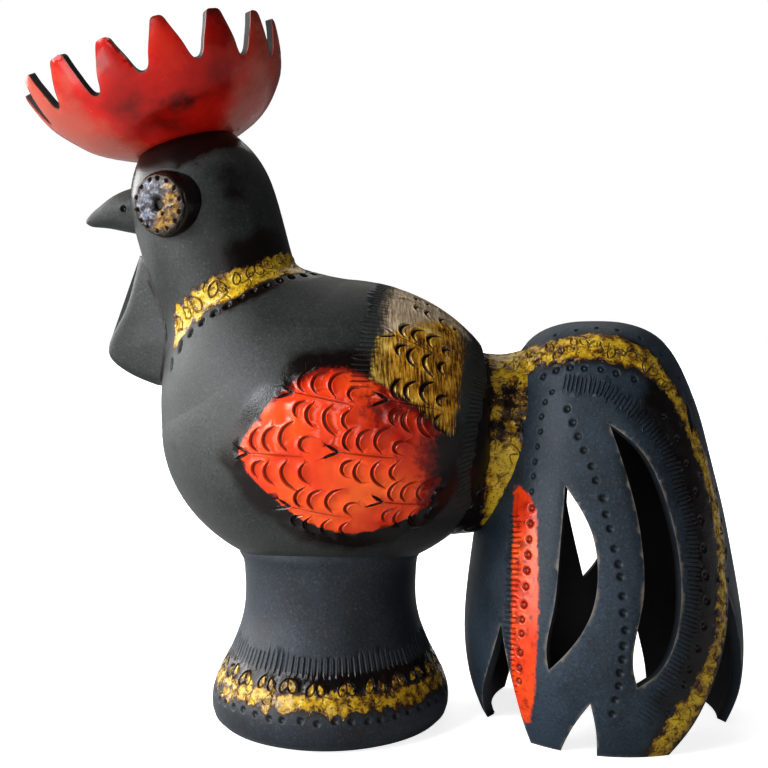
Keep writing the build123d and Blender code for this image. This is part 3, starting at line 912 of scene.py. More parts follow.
# The foot of the neck is smoothed into the body with the fingers, so that no joint shows
neck_fillet_up = 22.0
neck_fillet_out = 24.0
angle = np.radians(turn)
joint_rise = 8.8 - 1.4 * np.cos(angle) + 3.3 * np.cos(2 * angle)
fillet_top = joint_rise + neck_fillet_up
upper = neck_form.skin(turn, fillet_top)
upper_way = neck_form.skin(turn, fillet_top - 1) - upper
corner = neck_form.skin(turn, joint_rise)
lower_way = along_body(corner - upper, corner)
lower = on_body(corner + lower_way * neck_fillet_out, 0.996)
lower_way = along_body(lower_way, lower)
reach = np.linalg.norm(lower - upper, axis=1, keepdims=True)
share = held(1 - rise / fillet_top)[:, None]
sweep_in = (2 * share**3 - 3 * share**2 + 1) * upper + (share**3 - 2 * share**2 + share) * reach * upper_way
sweep_out = (3 * share**2 - 2 * share**3) * lower + (share**3 - share**2) * reach * lower_way
skin = np.where(rise[:, None] < fillet_top[:, None], sweep_in + sweep_out, neck_form.skin(turn, rise))
mirrored = np.abs(turn)
low = read_off(collar_dots, mirrored)
high = read_off(collar_top, mirrored)
scallop = 1.0 * np.sin(np.radians(mirrored * 38)) + 0.7 * np.sin(np.radians(mirrored * 17))
yellow = np.clip(0.5 + np.minimum(rise - low - 3.0, high - 1.0 + scallop - rise) / 4.5, 0, 1.2)
yellow *= held((mirrored - 37) / 8) * held((200 - mirrored) / 40)
yellow = np.maximum(yellow, 0.9 * neck_wall.petal_fill(turn, rise))
lump = lumps(skin, 4.0, 2) * 0.6 * held(yellow * 2 - 0.6)
smoked = 1.1 * held((rise - neck_form.length + 25 + 6 * np.sin(np.radians(turn * 2))) / 9)
above_band = 0.72 * held(1.3 - np.abs(rise - high - 5) / 13) * held((mirrored - 78) / 36)
ear_patch = 0.42 * hump((mirrored - 122) / 18, (rise - 100) / 20)
below_band = 0.9 * held(1.2 - np.abs(rise - low + 1) / 4.5) * held((mirrored - 60) / 40)
neck_piece = Piece("thrown_neck_and_head")
first = neck_piece.add(
    skin + neck_form.outward(turn, rise) * (dent + lip + lump)[:, None],
    faces,
    yellow=yellow,
    burn=np.max([smoked, above_band, ear_patch, below_band], axis=0),
    pressed=held(-dent / 0.8),
)
neck_piece.close(neck_wall, turn, rise, first)
neck = neck_piece.make(black_clay)
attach(neck, "root")
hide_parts("neck_head")

# Wattle: a slab of the same clay cut by hand, about a centimetre thick, with edges rubbed round.
# It is luted on edge to the throat and the breast, thickened along that joint, and left bare.
wattle_free_edge = [
    (-146.9, 273.0), (-149.9, 260.0), (-157.1, 237.0), (-164.3, 222.6),
    (-165.3, 214.5), (-158.3, 206.0), (-136.3, 195.5),
]
# Along the joint: x, height and half thickness
wattle_joint = np.array(
    [(-129, 197, 11), (-127, 219.7, 14), (-129, 236.7, 12), (-137.2, 257.8, 11), (-143, 271, 7)]
)
wattle_back = [(-122, 195.5), (-112, 205), (-112, 262), (-128, 273)]
wattle_half = 5.0
wattle_round = 4.0
free_edge = smooth_line(wattle_free_edge, 1.4)
wattle_outline = np.concatenate([free_edge, wattle_back])
grid_x, grid_z = np.meshgrid(np.arange(-170, -110, 1.8), np.arange(192, 276, 1.8))
spots = np.stack([grid_x.ravel() + 0.9 * (np.arange(grid_x.size) // grid_x.shape[1] % 2), grid_z.ravel()], 1)
rim_distance = nearest(spots, free_edge)[0]
spots = spots[is_inside(spots, wattle_outline) & (rim_distance > 1.2)]
inset = []
for step in (0.35, 0.9):
    normal = np.gradient(free_edge, axis=0)
    normal = np.stack([-normal[:, 1], normal[:, 0]], 1)
    normal /= np.linalg.norm(normal, axis=1, keepdims=True)
    inset.append(free_edge + normal * step)
spots = np.concatenate([wattle_outline] + inset + [spots])
ring = len(wattle_outline)
flat, faces = triangulate(spots, [(i, (i + 1) % ring) for i in range(ring)], 1)
from_edge = nearest(flat, free_edge)[0]
from_joint = nearest(flat, wattle_joint[:, :2])[0]
inward = held(from_edge / wattle_round)
joint_half = np.interp(flat[:, 1], wattle_joint[:, 1], wattle_joint[:, 2])
toward_joint = from_edge / np.maximum(from_edge + from_joint, 0.1)
thick = wattle_half * np.sqrt(held(1 - (1 - inward) ** 2))
thick = thick + (joint_half - wattle_half) * toward_joint**1.8
waver = 0.5 * lumps(np.column_stack([flat, 0 * flat[:, 0]]), 26.0, 3)
throat_turn, throat_rise = np.meshgrid(np.arange(-64, 65, 1.0), np.arange(20, 90, 0.9))
breast_turn, breast_rise = np.meshgrid(np.arange(-180, 180, 2.0), np.arange(2, 75, 0.9))
throat = neck_form.skin(throat_turn.ravel(), throat_rise.ravel())
breast = body_form.skin(breast_turn.ravel(), breast_rise.ravel())
bed = np.concatenate([throat, breast])
bed_tree = KDTree(len(bed))
for number, spot in enumerate(bed):
    bed_tree.insert(spot, number)
bed_tree.balance()
wattle_piece = Piece("slab_wattle")
near_side = np.column_stack([flat[:, 0], -thick + waver * inward, flat[:, 1]])
far_side = np.column_stack([flat[:, 0], thick + waver * inward, flat[:, 1]])
worn_edge = 0.25 * held(1 - inward * 2.2)
for side_face, side_faces in ((near_side, faces), (far_side, faces[:, ::-1])):
    from_bed = np.array([bed_tree.find(spot)[2] for spot in side_face])
    # Along its joint with throat and breast the wattle is painted dark: a dark seam, and painted shade in the
    # crease.
    joint_line = held(1.7 - from_bed / 1.3)
    wattle_piece.add(side_face, side_faces, edge=worn_edge, pressed=joint_line, burn=0.8 * joint_line)
wattle = wattle_piece.make(black_clay)
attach(wattle, "root")
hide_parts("wattle")

# Beak: a blunt cone of clay rolled in the hand, drooping to its tip and luted to the head.
# A nostril is poked in each side near its root.
beak_rings = [
    (-136.3, 301.5, 16.5), (-153.3, 300.0, 13.0), (-163.8, 298.6, 9.4),
    (-172.3, 295.6, 5.6), (-177.0, 294.1, 3.2), (-178.9, 293.5, 1.2),
]
beak_line = smooth_line(beak_rings, 0.5)
beak_middle = in_middle(beak_line[:, 0], beak_line[:, 1])
beak_form = Form(beak_middle, (0, 0, 1), (0, -1, 0), beak_line[:, 2], beak_line[:, 2] * 0.97)
beak_wall = ClayWall(beak_form, 1.8)
for side in (90, -90):
    beak_wall.press_hole(side * 1.01, 18.0, 1.7, 2.0)
turn, rise, faces, dent, lip = beak_wall.pressed_layout()
skin = beak_form.skin(turn, rise)
# It is built from root to tip, so that its outward side lies the other way round
beak_piece = Piece("rolled_beak")
first = beak_piece.add(
    beak_form.lifted(turn, rise, -(dent + lip + 0.35 * lumps(skin, 9.0, 4))),
    faces[:, ::-1],
    pressed=held(-dent / 0.9),
    burn=0.6 * held(1 - np.hypot(skin[:, 0] + 152.5, skin[:, 2] - 299.5) / 6),
)
beak_piece.cap(beak_wall, turn, rise, first, beak_wall.low)
beak_piece.cap(beak_wall, turn, rise, first, beak_wall.high, flip=True)
beak = beak_piece.make(black_clay)
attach(beak, "root")
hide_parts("beak")

# Eyes: a thick pad of clay on each side of the head, turned a little to the front.
# A lumpy ring with a hole as pupil is pressed on it, poked all round near its rim,
# and covered with a thick mottled glaze, milky blue to ochre.
eye_finish = Finish("eye_glaze")
eye_finish.shader.inputs["Specular IOR Level"].default_value = 0.35
eye_grain = eye_finish.grain(3.0, 4, 0.62)
milky = eye_finish.tones(
    eye_grain,
    (0.40, (0.022, 0.016, 0.015)),
    (0.49, (0.058, 0.058, 0.073)),
    (0.61, (0.17, 0.18, 0.225)),
    (0.76, (0.42, 0.43, 0.46)),
)
amber_glaze = eye_finish.tones(
    eye_grain,
    (0.36, (0.016, 0.008, 0.005)),
    (0.47, (0.13, 0.062, 0.012)),
    (0.64, (0.36, 0.22, 0.05)),
)
eye_side = eye_finish.sum(eye_finish.painted("ochre"), eye_finish.uneven(6.5, 4))
eye_tone = eye_finish.blend(eye_finish.spread(eye_side, 0.38, 0.62), milky, amber_glaze)
eye_rim = eye_finish.sum(eye_finish.painted("burn"), eye_finish.uneven(4, 4))
eye_brown = eye_finish.blend(eye_grain, (0.006, 0.005, 0.005), (0.050, 0.026, 0.014))
eye_tone = eye_finish.blend(eye_finish.spread(eye_rim, 0.32, 0.62), eye_tone, eye_brown)
eye_speck = eye_finish.spread(eye_finish.grain(2.0, 3), 0.57, 0.66, 0, 0.85)
eye_tone = eye_finish.blend(eye_speck, eye_tone, (0.035, 0.017, 0.01))
# Painted shade: the poked holes and the pupil are painted near black, for the shade inside them.
eye_tone = eye_finish.blend(eye_finish.painted("pressed"), eye_tone, (0.006, 0.005, 0.005))
eye_glaze = eye_finish.done(
    eye_tone,
    eye_finish.spread(eye_finish.grain(4, 3), 0.3, 0.7, 0.20, 0.38),
    eye_finish.bump(eye_finish.grain(2.2, 4), 0.5, 0.5),
)
eye_bearing = math.radians(20.3)
eye_facing_turn = math.radians(27.0)
eye_depth = 36.8
eye_reach = 49.4
pad_profile = smooth_line(
    [(18.6, -20.0), (18.6, -9.0), (18.5, -3.2), (17.8, -0.9),
     (16.2, -0.1), (12.0, 0.0), (6.0, 0.0), (0.8, 0.0)],
    0.5,
)
ring_profile = smooth_line(
    [(16.6, -0.6), (17.3, 0.4), (17.1, 1.3), (15.8, 1.9), (13.8, 2.0), (12.2, 2.5), (9.4, 3.4), (6.2, 3.3),
     (4.0, 2.3), (3.0, 0.9), (2.5, -0.4), (0.6, -0.7)],
    0.4,
)
ring_edge = int(ring_profile[:, 0].argmax())
for side, word in ((1, "left"), (-1, "right")):
    left_way = np.array([0, -side, 0], float)
    eye_out = left_way * math.cos(eye_bearing) + neck_front * math.sin(eye_bearing)
    eye_facing = left_way * math.cos(eye_facing_turn) + neck_front * math.sin(eye_facing_turn)
    eye_at = neck_top - neck_up * eye_depth + eye_out * eye_reach
    pad_form = turned(eye_at, eye_facing, neck_up, pad_profile)
    pad_wall = ClayWall(pad_form, 2.2)
    pad_wall.flat_radius = 16.0
    turn, rise, faces = pad_wall.lay_out()
    skin = pad_form.skin(turn, rise)
    pad_piece = Piece(word + "_eye_pad_clay")
    first = pad_piece.add(
        pad_form.lifted(turn, rise, 0.4 * lumps(skin, 8.0, 5)),
        faces,
        # Painted shade: the pad is painted smoke-dark all over, for the shadow beside the eye ring.
        burn=np.clip(rise / 10, 0.6, 1),
    )
    pad_piece.close(pad_wall, turn, rise, first)
    pad = pad_piece.make(black_clay)
    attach(pad, "root")
    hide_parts(word + "_eye_pad")

    ring_form = turned(eye_at, eye_facing, neck_up, ring_profile)
    ring_wall = ClayWall(ring_form, 0.9)
    ring_wall.flat_radius = 9.0

    def face_rise(radius):
        """Rise at which the ring's face has a radius."""
        return float(np.interp(-radius, -ring_profile[ring_edge:, 0], ring_form.rise[ring_edge:]))

    for hole in range(14):
        spin = -175 + hole * 360 / 14 + rng.uniform(-4, 4)
        ring_wall.press_hole(spin, face_rise(14.6 + rng.uniform(-0.4, 0.4)), 1.2, 1.5)
    ring_wall.press_hole(-158 * side, face_rise(6.6), 1.1, 1.5)
    turn, rise, faces, dent, lip = ring_wall.pressed_layout()
    skin = ring_form.skin(turn, rise)
    uneven = 0.8 * lumps(skin, 4.2, 6) + 0.45 * lumps(skin, 2.0, 7)
    offset = skin - eye_at
    ring_piece = Piece(word + "_eye_ring_glazed")
    first = ring_piece.add(
        ring_form.lifted(turn, rise, uneven + dent + lip),
        faces,
        ochre=held(0.5 - (offset @ neck_front + 0.7 * (offset @ neck_up)) / 24),
        burn=held((np.linalg.norm(offset, axis=1) - 12.6) / 4.2),
        # The pupil and the poked holes are marked pressed, to be painted near black as shade.
        pressed=held(np.maximum((4.5 - np.linalg.norm(offset, axis=1)) / 1.3, -dent / 0.9)),
    )
    ring_piece.close(ring_wall, turn, rise, first)
    eye_ring = ring_piece.make(eye_glaze)
    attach(eye_ring, "root")
    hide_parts(word + "_eye_ring")

# Comb: a shallow bowl thrown on the wheel, its rim cut into fifteen teeth with a knife.
# The outside carries a thick red glaze, burnt dark in places, the inside and the cuts stay bare.
# It is luted by its foot to the flat top of the head.
comb_finish = Finish("red_comb_glaze")
comb_finish.shader.inputs["Specular IOR Level"].default_value = 0.36
comb_cloud = comb_finish.grain(34, 5, 0.6)
comb_red = comb_finish.tones(
    comb_cloud,
    (0.28, (0.20, 0.005, 0.003)),
    (0.40, (0.33, 0.007, 0.003)),
    (0.54, (0.46, 0.010, 0.004)),
    (0.74, (0.54, 0.028, 0.009)),
)
# Painted reflection: where marked, the red is painted a paler pink, for the sheen of the bright surroundings
# on the glaze.
comb_painted_sheen = comb_finish.sum(comb_finish.painted("ochre"), comb_finish.uneven(12, 4))
comb_red = comb_finish.blend(comb_finish.spread(comb_painted_sheen, 0.1, 0.8, 0, 0.85), comb_red, (0.41, 0.095, 0.062))
comb_spot = comb_finish.sum(comb_finish.painted("burn"), comb_finish.uneven(9, 5, 0.7))
comb_red = comb_finish.blend(comb_finish.spread(comb_spot, 0.15, 0.9), comb_red, (0.030, 0.005, 0.004))
comb_rim = comb_finish.times(comb_finish.painted("edge"), comb_finish.grain(5, 3))
comb_red = comb_finish.blend(comb_finish.spread(comb_rim, 0.22, 0.6, 0, 0.8), comb_red, (0.13, 0.055, 0.045))
# Painted highlight: the glaze bead round the comb's foot is painted a paler pink, as if lit along its edge.
comb_bead_highlight = comb_finish.times(comb_finish.painted("wash"), comb_finish.grain(6, 3))
comb_red = comb_finish.blend(comb_finish.spread(comb_bead_highlight, 0.2, 0.5), comb_red, (0.62, 0.20, 0.15))
comb_bare = comb_finish.blend(comb_finish.grain(3, 4), (0.010, 0.010, 0.010), (0.042, 0.042, 0.040))
comb_tone = comb_finish.blend(comb_finish.painted("inside"), comb_red, comb_bare)
comb_shine = comb_finish.spread(comb_cloud, 0.3, 0.7, 0.18, 0.30)
comb_shine = comb_finish.blend(comb_finish.painted("inside"), comb_shine, (0.6, 0.6, 0.6))
comb_skin = comb_finish.bump(comb_finish.grain(3.0, 4), 0.12, 0.25)
red_comb_glaze = comb_finish.done(comb_tone, comb_shine, comb_skin)
comb_seat = np.array([-122.2, 0, 337.3])
comb_wall_thickness = 5.0
# Radius, height and shift to the front of each ring; the bowl is set a little further forward to its rim
comb_rings = [
    (31.0, 0.0, -4.0), (40.5, 4.3, -4.0), (48.0, 8.0, -4.0), (57.0, 14.4, -3.4), (63.7, 21.6, -2.7),
    (70.6, 31.3, -1.4), (74.6, 42.0, 0.0), (76.8, 51.0, 1.2), (77.8, 58.0, 2.0),
]
comb_line = smooth_line(comb_rings, 0.5)
comb_lean = np.radians(neck_lean_degrees + 1.3 * comb_line[:, 1] / comb_rings[-1][1])
comb_middle = comb_seat + comb_line[:, 1:2] * neck_up + comb_line[:, 2:3] * neck_front
comb_form = leaning(comb_middle, comb_lean, comb_line[:, 0])
tooth_count = 15
tooth_pitch = 360 / tooth_count
first_gap = 18.4 - 8 * tooth_pitch
valley_round = 3.6
comb_wall = ClayWall(comb_form, 3.0, seam=first_gap - tooth_pitch / 2)
# Each gap is cut by eye: its shift round the rim in degrees, the lean of its floor,
# half its width, the height of its floor, and of the tip before it
gap_shift = (0.4, -0.5, 0.3, 0.6, -0.4, 0.2, -0.3, 0.5, 1.0, 2.6, 3.0, 1.9, 1.4, 2.2, 1.0)
gap_lean = (1.5, 0.8, 0.0, 1.6, 2.4, 1.5, 0.0, -1.5, -3.5, -7.4, -6.3, -3.0, -0.8, -1.6, -1.5)
gap_half = (12.0, 12.3, 12.2, 11.8, 12.4, 12.0, 12.3, 12.2, 12.2, 11.8, 10.9, 12.2, 12.4, 12.2, 10.8)
gap_floor = (30.2, 29.6, 30.4, 29.0, 28.8, 30.0, 30.6, 30.8, 30.5, 31.2, 26.4, 28.8, 29.6, 29.1, 31.2)
tooth_tip = (54.4, 53.8, 54.0, 53.2, 53.6, 54.2, 54.6, 54.2, 54.2, 55.0, 52.4, 50.6, 53.7, 53.3, 53.6)


def valley(floor_at, angle):
    """Half width and height of a gap's round floor, at an angle from its lowest spot."""
    return valley_round * math.sin(angle), floor_at + valley_round * (1 - math.cos(angle))


teeth = []
for gap in range(tooth_count):
    middle = first_gap + gap * tooth_pitch + gap_shift[gap]
    floor_at = gap_floor[gap]
    half = gap_half[gap]
    outline = []
    for way, reach in ((-1, tooth_tip[gap]), (1, tooth_tip[(gap + 1) % tooth_count])):
        flank = [(half + 2.2, reach + 0.3), (half + 0.9, reach - 0.1), (half - 0.2, reach - 1.2)]
        start = np.array([half - 0.9, reach - 2.8])
        bend = np.array(valley(floor_at, 1.05))
        flank += [tuple(start + (bend - start) * share) for share in (0.0, 0.35, 0.7, 1.0)]
        flank.append(valley(floor_at, 0.5))
        if way < 0:
            flank.append((0.0, floor_at))
        else:
            flank.reverse()
        outline += [(way * x + gap_lean[gap] * (reach - y) / (reach - floor_at), y) for x, y in flank]
    cut = smooth_line(outline, 1.0)
    ring_radius = np.interp(cut[:, 1], comb_line[:, 1], comb_line[:, 0])
    turns = middle + np.degrees(np.arcsin(cut[:, 0] / ring_radius))
    turns = np.maximum.accumulate(turns) + np.arange(len(turns)) * 1e-4
    teeth.append(np.stack([turns, np.interp(cut[:, 1], comb_line[:, 1], comb_form.rise)], 1))
comb_top = comb_form.length
rim = np.concatenate(teeth)
seam_rise = float(rim[0, 1] + rim[-1, 1]) / 2
rim = np.concatenate([[(comb_wall.seam, seam_rise)], rim, [(comb_wall.seam + 360, seam_rise)]])


def shell(piece, wall, thickness, outside, inner_grain, cut_shade, end, keep=None):
    """Outer and inner skin of a cut wall, closed at one end, and the cut edge between them."""
    rounding = 0.45
    edge_step = 1.3
    inner = ClayWall(wall.form, inner_grain, wall.seam, wall.low, wall.high)
    inner.gaps = wall.gaps
    inner.flat_radius = wall.flat_radius
    rims = []
    place = {}
    for sheet in (wall, inner):
        turn, rise, faces = sheet.lay_out()
        if keep:
            faces = faces[keep(turn[faces].mean(1), rise[faces].mean(1))]
        pairs = np.concatenate([faces[:, [0, 1]], faces[:, [1, 2]], faces[:, [2, 0]]])
        code = np.sort(pairs, axis=1) @ (len(turn), 1)
        _, where, count = np.unique(code, return_index=True, return_counts=True)
        border = pairs[where[count == 1]]
        on_seam = (np.abs(turn - sheet.seam) < 1e-3) | (np.abs(turn - sheet.seam - 360) < 1e-3)
        at_end = np.abs(rise - end) < 1e-3
        border = border[~(on_seam[border].all(1) | at_end[border].all(1))]
        on_rim = np.zeros(len(turn), bool)
        on_rim[border.ravel()] = True
        key = [(round(t, 3), round(r, 3)) for t, r in zip(turn, rise)]
        if sheet is wall:
            lift, paint = outside(turn, rise, sheet.form.skin(turn, rise))
            lift = np.where(on_rim, -rounding, lift)
            first = piece.add(sheet.form.lifted(turn, rise, lift), faces, edge=on_rim * 1.0, **paint)
            edges = [(key[a], key[b]) for a, b in border]
            for i in border.ravel():
                place.setdefault(key[i], (turn[i], rise[i]))
        else:
            # The inner skin is marked inside: bare clay colour on the comb, painted shade near black on clay
            # pieces.
            lift = np.where(on_rim, rounding - thickness, -thickness)
            first = piece.add(sheet.form.lifted(turn, rise, lift), faces[:, ::-1], inside=1.0)
        rims.append({key[i]: first + int(i) for i in np.flatnonzero(on_rim)})
        piece.cap(sheet, turn, rise, first, end, flip=(sheet is inner) != (end == sheet.low))
    number = {key: i for i, key in enumerate(place)}
    turn, rise = np.array(list(place.values())).T
    # The cut face is marked inside, more towards the inner skin: bare clay on the comb, painted shade on clay
    # pieces.
    upper = piece.add(wall.form.lifted(turn, rise, -edge_step), [], inside=cut_shade)
    lower = piece.add(wall.form.lifted(turn, rise, edge_step - thickness), [], inside=max(cut_shade, 0.9))
    outer_rim, inner_rim = rims
    inner_spots = np.array(list(inner_rim))
    for edge in edges:
        rungs = []
        for key in edge:
            behind = key
            if key not in inner_rim:
                behind = tuple(inner_spots[np.argmin(np.hypot(*(inner_spots - key).T))])
            rungs.append((outer_rim[key], upper + number[key], lower + number[key], inner_rim[behind]))
        for step in range(3):
            corners = (rungs[1][step], rungs[0][step], rungs[0][step + 1], rungs[1][step + 1])
            piece.faces.append(tuple(dict.fromkeys(corners)))


comb_wall.gaps = [rim]
comb_piece = Piece("thrown_comb")


def comb_outside(turn, rise, skin):
    mirrored = np.abs((turn + 180) % 360 - 180)
    spot = hump((mirrored - 100) / 20, (rise - 27) / 10)
    spot = np.maximum(spot, 0.75 * hump((mirrored - 82) / 14, (rise - 34) / 7))
    back = held((mirrored - 112) / 45) * np.clip((rise - 12) / 20, 0.35, 1)
    tip = held((rise - comb_top + 19) / 15) * np.clip((mirrored - 62) / 50, 0.4, 1)
    foot_edge = held(1 - rise / 7)
    burn = np.max([0.62 * spot, 0.30 * back, 0.62 * tip, 0.2 * foot_edge], axis=0)
    # The bead of glaze round the foot is raised, and also painted paler as a painted highlight along it.
    bead_with_painted_highlight = hump((rise - 1.4) / 1.1)
    # Painted reflection: the front of the comb, and a little of the back, is marked for the paler pink sheen.
    thin = np.maximum(held((66 - mirrored) / 34), 0.6 * held((mirrored - 126) / 16))
    return 0.35 * lumps(skin, 18.0, 8) + 0.7 * bead_with_painted_highlight, {"burn": burn, "wash": bead_with_painted_highlight, "ochre": thin}


def below_rim(turn, rise):
    return rise < read_off(rim, turn)


shell(comb_piece, comb_wall, comb_wall_thickness, comb_outside, 5.0, 1.0, comb_wall.low, below_rim)
comb = comb_piece.make(red_comb_glaze)
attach(comb, "root")
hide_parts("comb")

# Tail collar: a thick oval ring of clay luted over the joint between body and tail.
# It is worked with the fingers and covered in patches of yellow glaze that break to brown.
collar_rings = [
    (72.0, -6.0, 52.0, 56.5), (84.0, -6.6, 44.5, 54.0), (93.0, -7.0, 40.0, 52.5),
    (104.0, -6.6, 38.6, 53.6), (122.0, -6.0, 38.0, 57.5),
]
collar_line = smooth_line(collar_rings, 0.5)
collar_start = np.array([-30.3, 0, 171.6])
collar_along = np.array([0.99939, 0, -0.0349])
collar_form = Form(
    collar_start + collar_line[:, 0:1] * collar_along + collar_line[:, 1:2] * np.array([0, 0, 1]),
    (0.0349, 0, 0.99939),
    (0, -1, 0),
    collar_line[:, 3],
    collar_line[:, 2],
)
collar_wall = ClayWall(collar_form, 1.8)
for scratch in range(190):
    hook = random_hook((2, 4), (1, 3), (4, 8), (-2, 2))
    spin = rng.uniform(0, 360)
    turn = rng.uniform(-175, 175)
    collar_wall.press_shape(turn, rng.uniform(8, 44), spin, hook, 0.5, 0.7)
turn, rise, faces, dent, lip = collar_wall.pressed_layout()
skin = collar_form.skin(turn, rise)
glazed_turns = (0, 30, 42, 54, 84, 94, 140, 160, 180)
glazed_share = (1.0, 1.1, 0.95, 0.55, 0.62, 1.6, 1.8, 0.7, 0.45)
patchy = np.interp(np.abs(turn), glazed_turns, glazed_share) + 0.45 * lumps(skin, 12.0, 9)
collar_piece = Piece("luted_tail_collar")
first = collar_piece.add(
    collar_form.lifted(turn, rise, dent + lip + 0.9 * lumps(skin, 9.0, 10)),
    faces,
    yellow=np.clip(patchy, 0, 1.5) * held((48 - rise) / 8) * held((rise - 13) / 8),
    pressed=held(-dent / 0.8),
    # The bare clay of the whole collar is painted smoke-dark: partly smoke, partly painted shade for the
    # hollow between body and tail.
    burn=0.9,
)
collar_piece.close(collar_wall, turn, rise, first)
collar = collar_piece.make(black_clay)
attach(collar, "root")
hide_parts("tail_collar")

# Tail: a pear-shaped dome thrown mouth down, then cut right through into long feathers.
# Rows of tube marks and a roulette arc follow the feathers, a mottled yellow band runs over the
# crown and down the back edge on each side, and a red stripe is sprayed on the front feather.
# The tail's clay is painted bluer than the body's: partly its own slate tone, partly a painted blue sheen.
slate_clay_with_blue_sheen = clay_finish("slate_clay_with_blue_sheen", (0.0125, 0.0198, 0.0285), (0.0300, 0.0470, 0.066))
tail_line = smooth_line(
    [(71.0, 0.0), (76.5, 14.0), (80.1, 30.3), (81.3, 48.0), (79.3, 74.6), (75.4, 101.0), (71.0, 127.0),
     (65.2, 153.5), (58.9, 180.5), (52.7, 198.5), (43.9, 216.3), (34.7, 225.9), (24.0, 231.0),
     (12.0, 233.5), (2.0, 233.9)],
    0.5,
)
tail_thickness = 6.0
# The dome stands on its ring with the crown a little to the front
tail_foot_x = 130.3
tail_shear = -0.02
gap_axis_x = 128.3
tail_middle = in_middle(tail_foot_x + tail_shear * tail_line[:, 1], tail_line[:, 1])
tail_form = Form(tail_middle, (-1, 0, 0), (0, -1, 0), tail_line[:, 0], tail_line[:, 0])
tail_wall = ClayWall(tail_form, 4.0)
tail_wall.flat_radius = 70.0
# Each gap is two cuts, front and back: distance to the side of its middle, and height
leaf = (
    [(-38.8, 143.5), (-44.0, 102.7), (-47.8, 76.4), (-51.3, 53.0), (-50.4, 46.2)],
    [(-50.4, 46.2), (-41.3, 58.0), (-29.8, 78.4), (-25.7, 101.0), (-28.0, 121.0), (-38.8, 143.5)],
)
crescent = (
    [(-18.4, 176.7), (-9.1, 134.6), (-6.8, 106.5), (-8.5, 85.0), (-15.0, 48.0), (-13.0, 40.5)],
    [(-13.0, 40.5), (-2.1, 47.6), (8.1, 63.1), (14.9, 96.0), (11.0, 129.2), (-4.6, 165.1), (-18.4, 176.7)],
)
notch = (
    [(7.4, 30.8), (-1.8, 17.2), (-11.5, -3.0)],
    [(9.1, -3.0), (9.6, 18.0), (7.4, 30.8)],
)
front_gap = (
    [(9.0, 65.0), (1.1, 44.5), (-8.7, 28.5), (-29.0, -3.0)],
    [(19.6, -3.0), (18.5, 28.0), (15.0, 44.0), (9.0, 65.0)],
)
back_gap = (
    [(4.0, 82.0), (-3.5, 65.9), (-15.0, 45.6), (-24.0, 28.0), (-37.5, -3.0)],
    [(31.0, -3.0), (26.0, 22.0), (14.0, 56.0), (4.0, 82.0)],
)
slit = (
    [(-6.0, 190.5), (-11.0, 180.0), (-12.0, 168.0)],
    [(-12.0, 168.0), (-6.0, 178.0), (-6.0, 190.5)],
)
right_slot = (
    [(-15.0, 150.0), (-10.0, 113.0), (-5.9, 96.0), (2.7, 63.0)],
    [(2.7, 63.0), (11.6, 75.0), (17.0, 97.0), (12.0, 122.0), (-15.0, 150.0)],
)
right_notch = (
    [(6.0, 36.0), (-7.0, 14.0), (-28.0, -3.0)],
    [(13.0, -3.0), (11.0, 18.0), (6.0, 36.0)],
)
right_back_gap = (
    [(2.0, 52.0), (-6.0, 28.0), (-14.0, -3.0)],
    [(16.0, -3.0), (13.0, 10.0), (7.0, 30.0), (2.0, 52.0)],
)
# Bearing of the middle from the side of the bird in degrees, left or right side, and the cuts
feather_gaps = [
    (8.0, 1, leaf), (12.0, 1, crescent), (-20.0, 1, notch),
    (-60.0, 1, front_gap), (50.0, 1, back_gap), (58.0, 1, slit),
    (-3.0, -1, leaf), (2.0, -1, right_slot), (-34.0, -1, right_notch),
    (26.0, -1, right_back_gap), (58.0, -1, slit),
]
gap_outlines = []
for bearing, side, (front_cut, back_cut) in feather_gaps:
    outline = np.concatenate([smooth_line(front_cut, 1.2), smooth_line(back_cut, 1.2)])
    height = outline[:, 1]
    axis_shift = gap_axis_x - tail_foot_x - tail_shear * height
    across = outline[:, 0] + axis_shift * math.cos(math.radians(bearing))
    ring_radius = np.interp(height, tail_line[:, 1], tail_line[:, 0])
    level = np.where(height < 0, height, np.interp(height, tail_line[:, 1], tail_form.rise))
    turns = side * (90 + bearing + np.degrees(np.arcsin(across / ring_radius)))
    spots = np.stack([turns, level], 1)
    if level.min() < 0:
        below = np.flatnonzero(level < 0)
        before, after = below[0], below[-1]
        ends = []
        for inner_spot, outer_spot in ((before - 1, before), (after + 1, after)):
            share = level[inner_spot] / (level[inner_spot] - level[outer_spot])
            ends.append((turns[inner_spot] + share * (turns[outer_spot] - turns[inner_spot]), 0.0))
        spots = np.concatenate([[ends[1]], spots[after + 1 :], spots[:before], [ends[0]]])
    steps = np.linalg.norm(np.diff(tail_wall.flat(spots), axis=0), axis=1)
    spots = spots[np.concatenate([[True], steps > 0.25])]
    if np.linalg.norm(tail_wall.flat(spots[:1]) - tail_wall.flat(spots[-1:])) < 0.25:
        spots = spots[:-1]
    gap_outlines.append(spots)
tail_wall.gaps = gap_outlines
tick_arc = [
    (59, 204), (73, 202.5), (85, 199.5), (93, 194), (102, 186.5), (108.5, 178), (114, 169), (117, 158.5),
    (119.5, 143.5), (122, 124.5), (120.5, 104), (118, 87), (114.5, 72.5), (109.5, 58.5), (103, 43), (94, 24),
]
middle_dots = [
    (63, 188.5), (66.5, 181), (69.5, 173.5), (72.5, 166), (76, 157.5), (78, 150), (81, 140.5),
    (82, 132), (83.5, 124.5), (85, 114), (86.5, 106), (87, 99.5), (87.5, 89.5), (87.5, 81),
    (88, 72), (87, 64), (86.5, 57), (85.5, 50), (85, 43), (83.5, 35.5), (82.5, 27.5),
]
front_dots = [
    (52.5, 198), (49, 192), (48, 183.5), (48.5, 175), (47.5, 166.5), (47, 158), (47, 150), (47, 141.5),
]
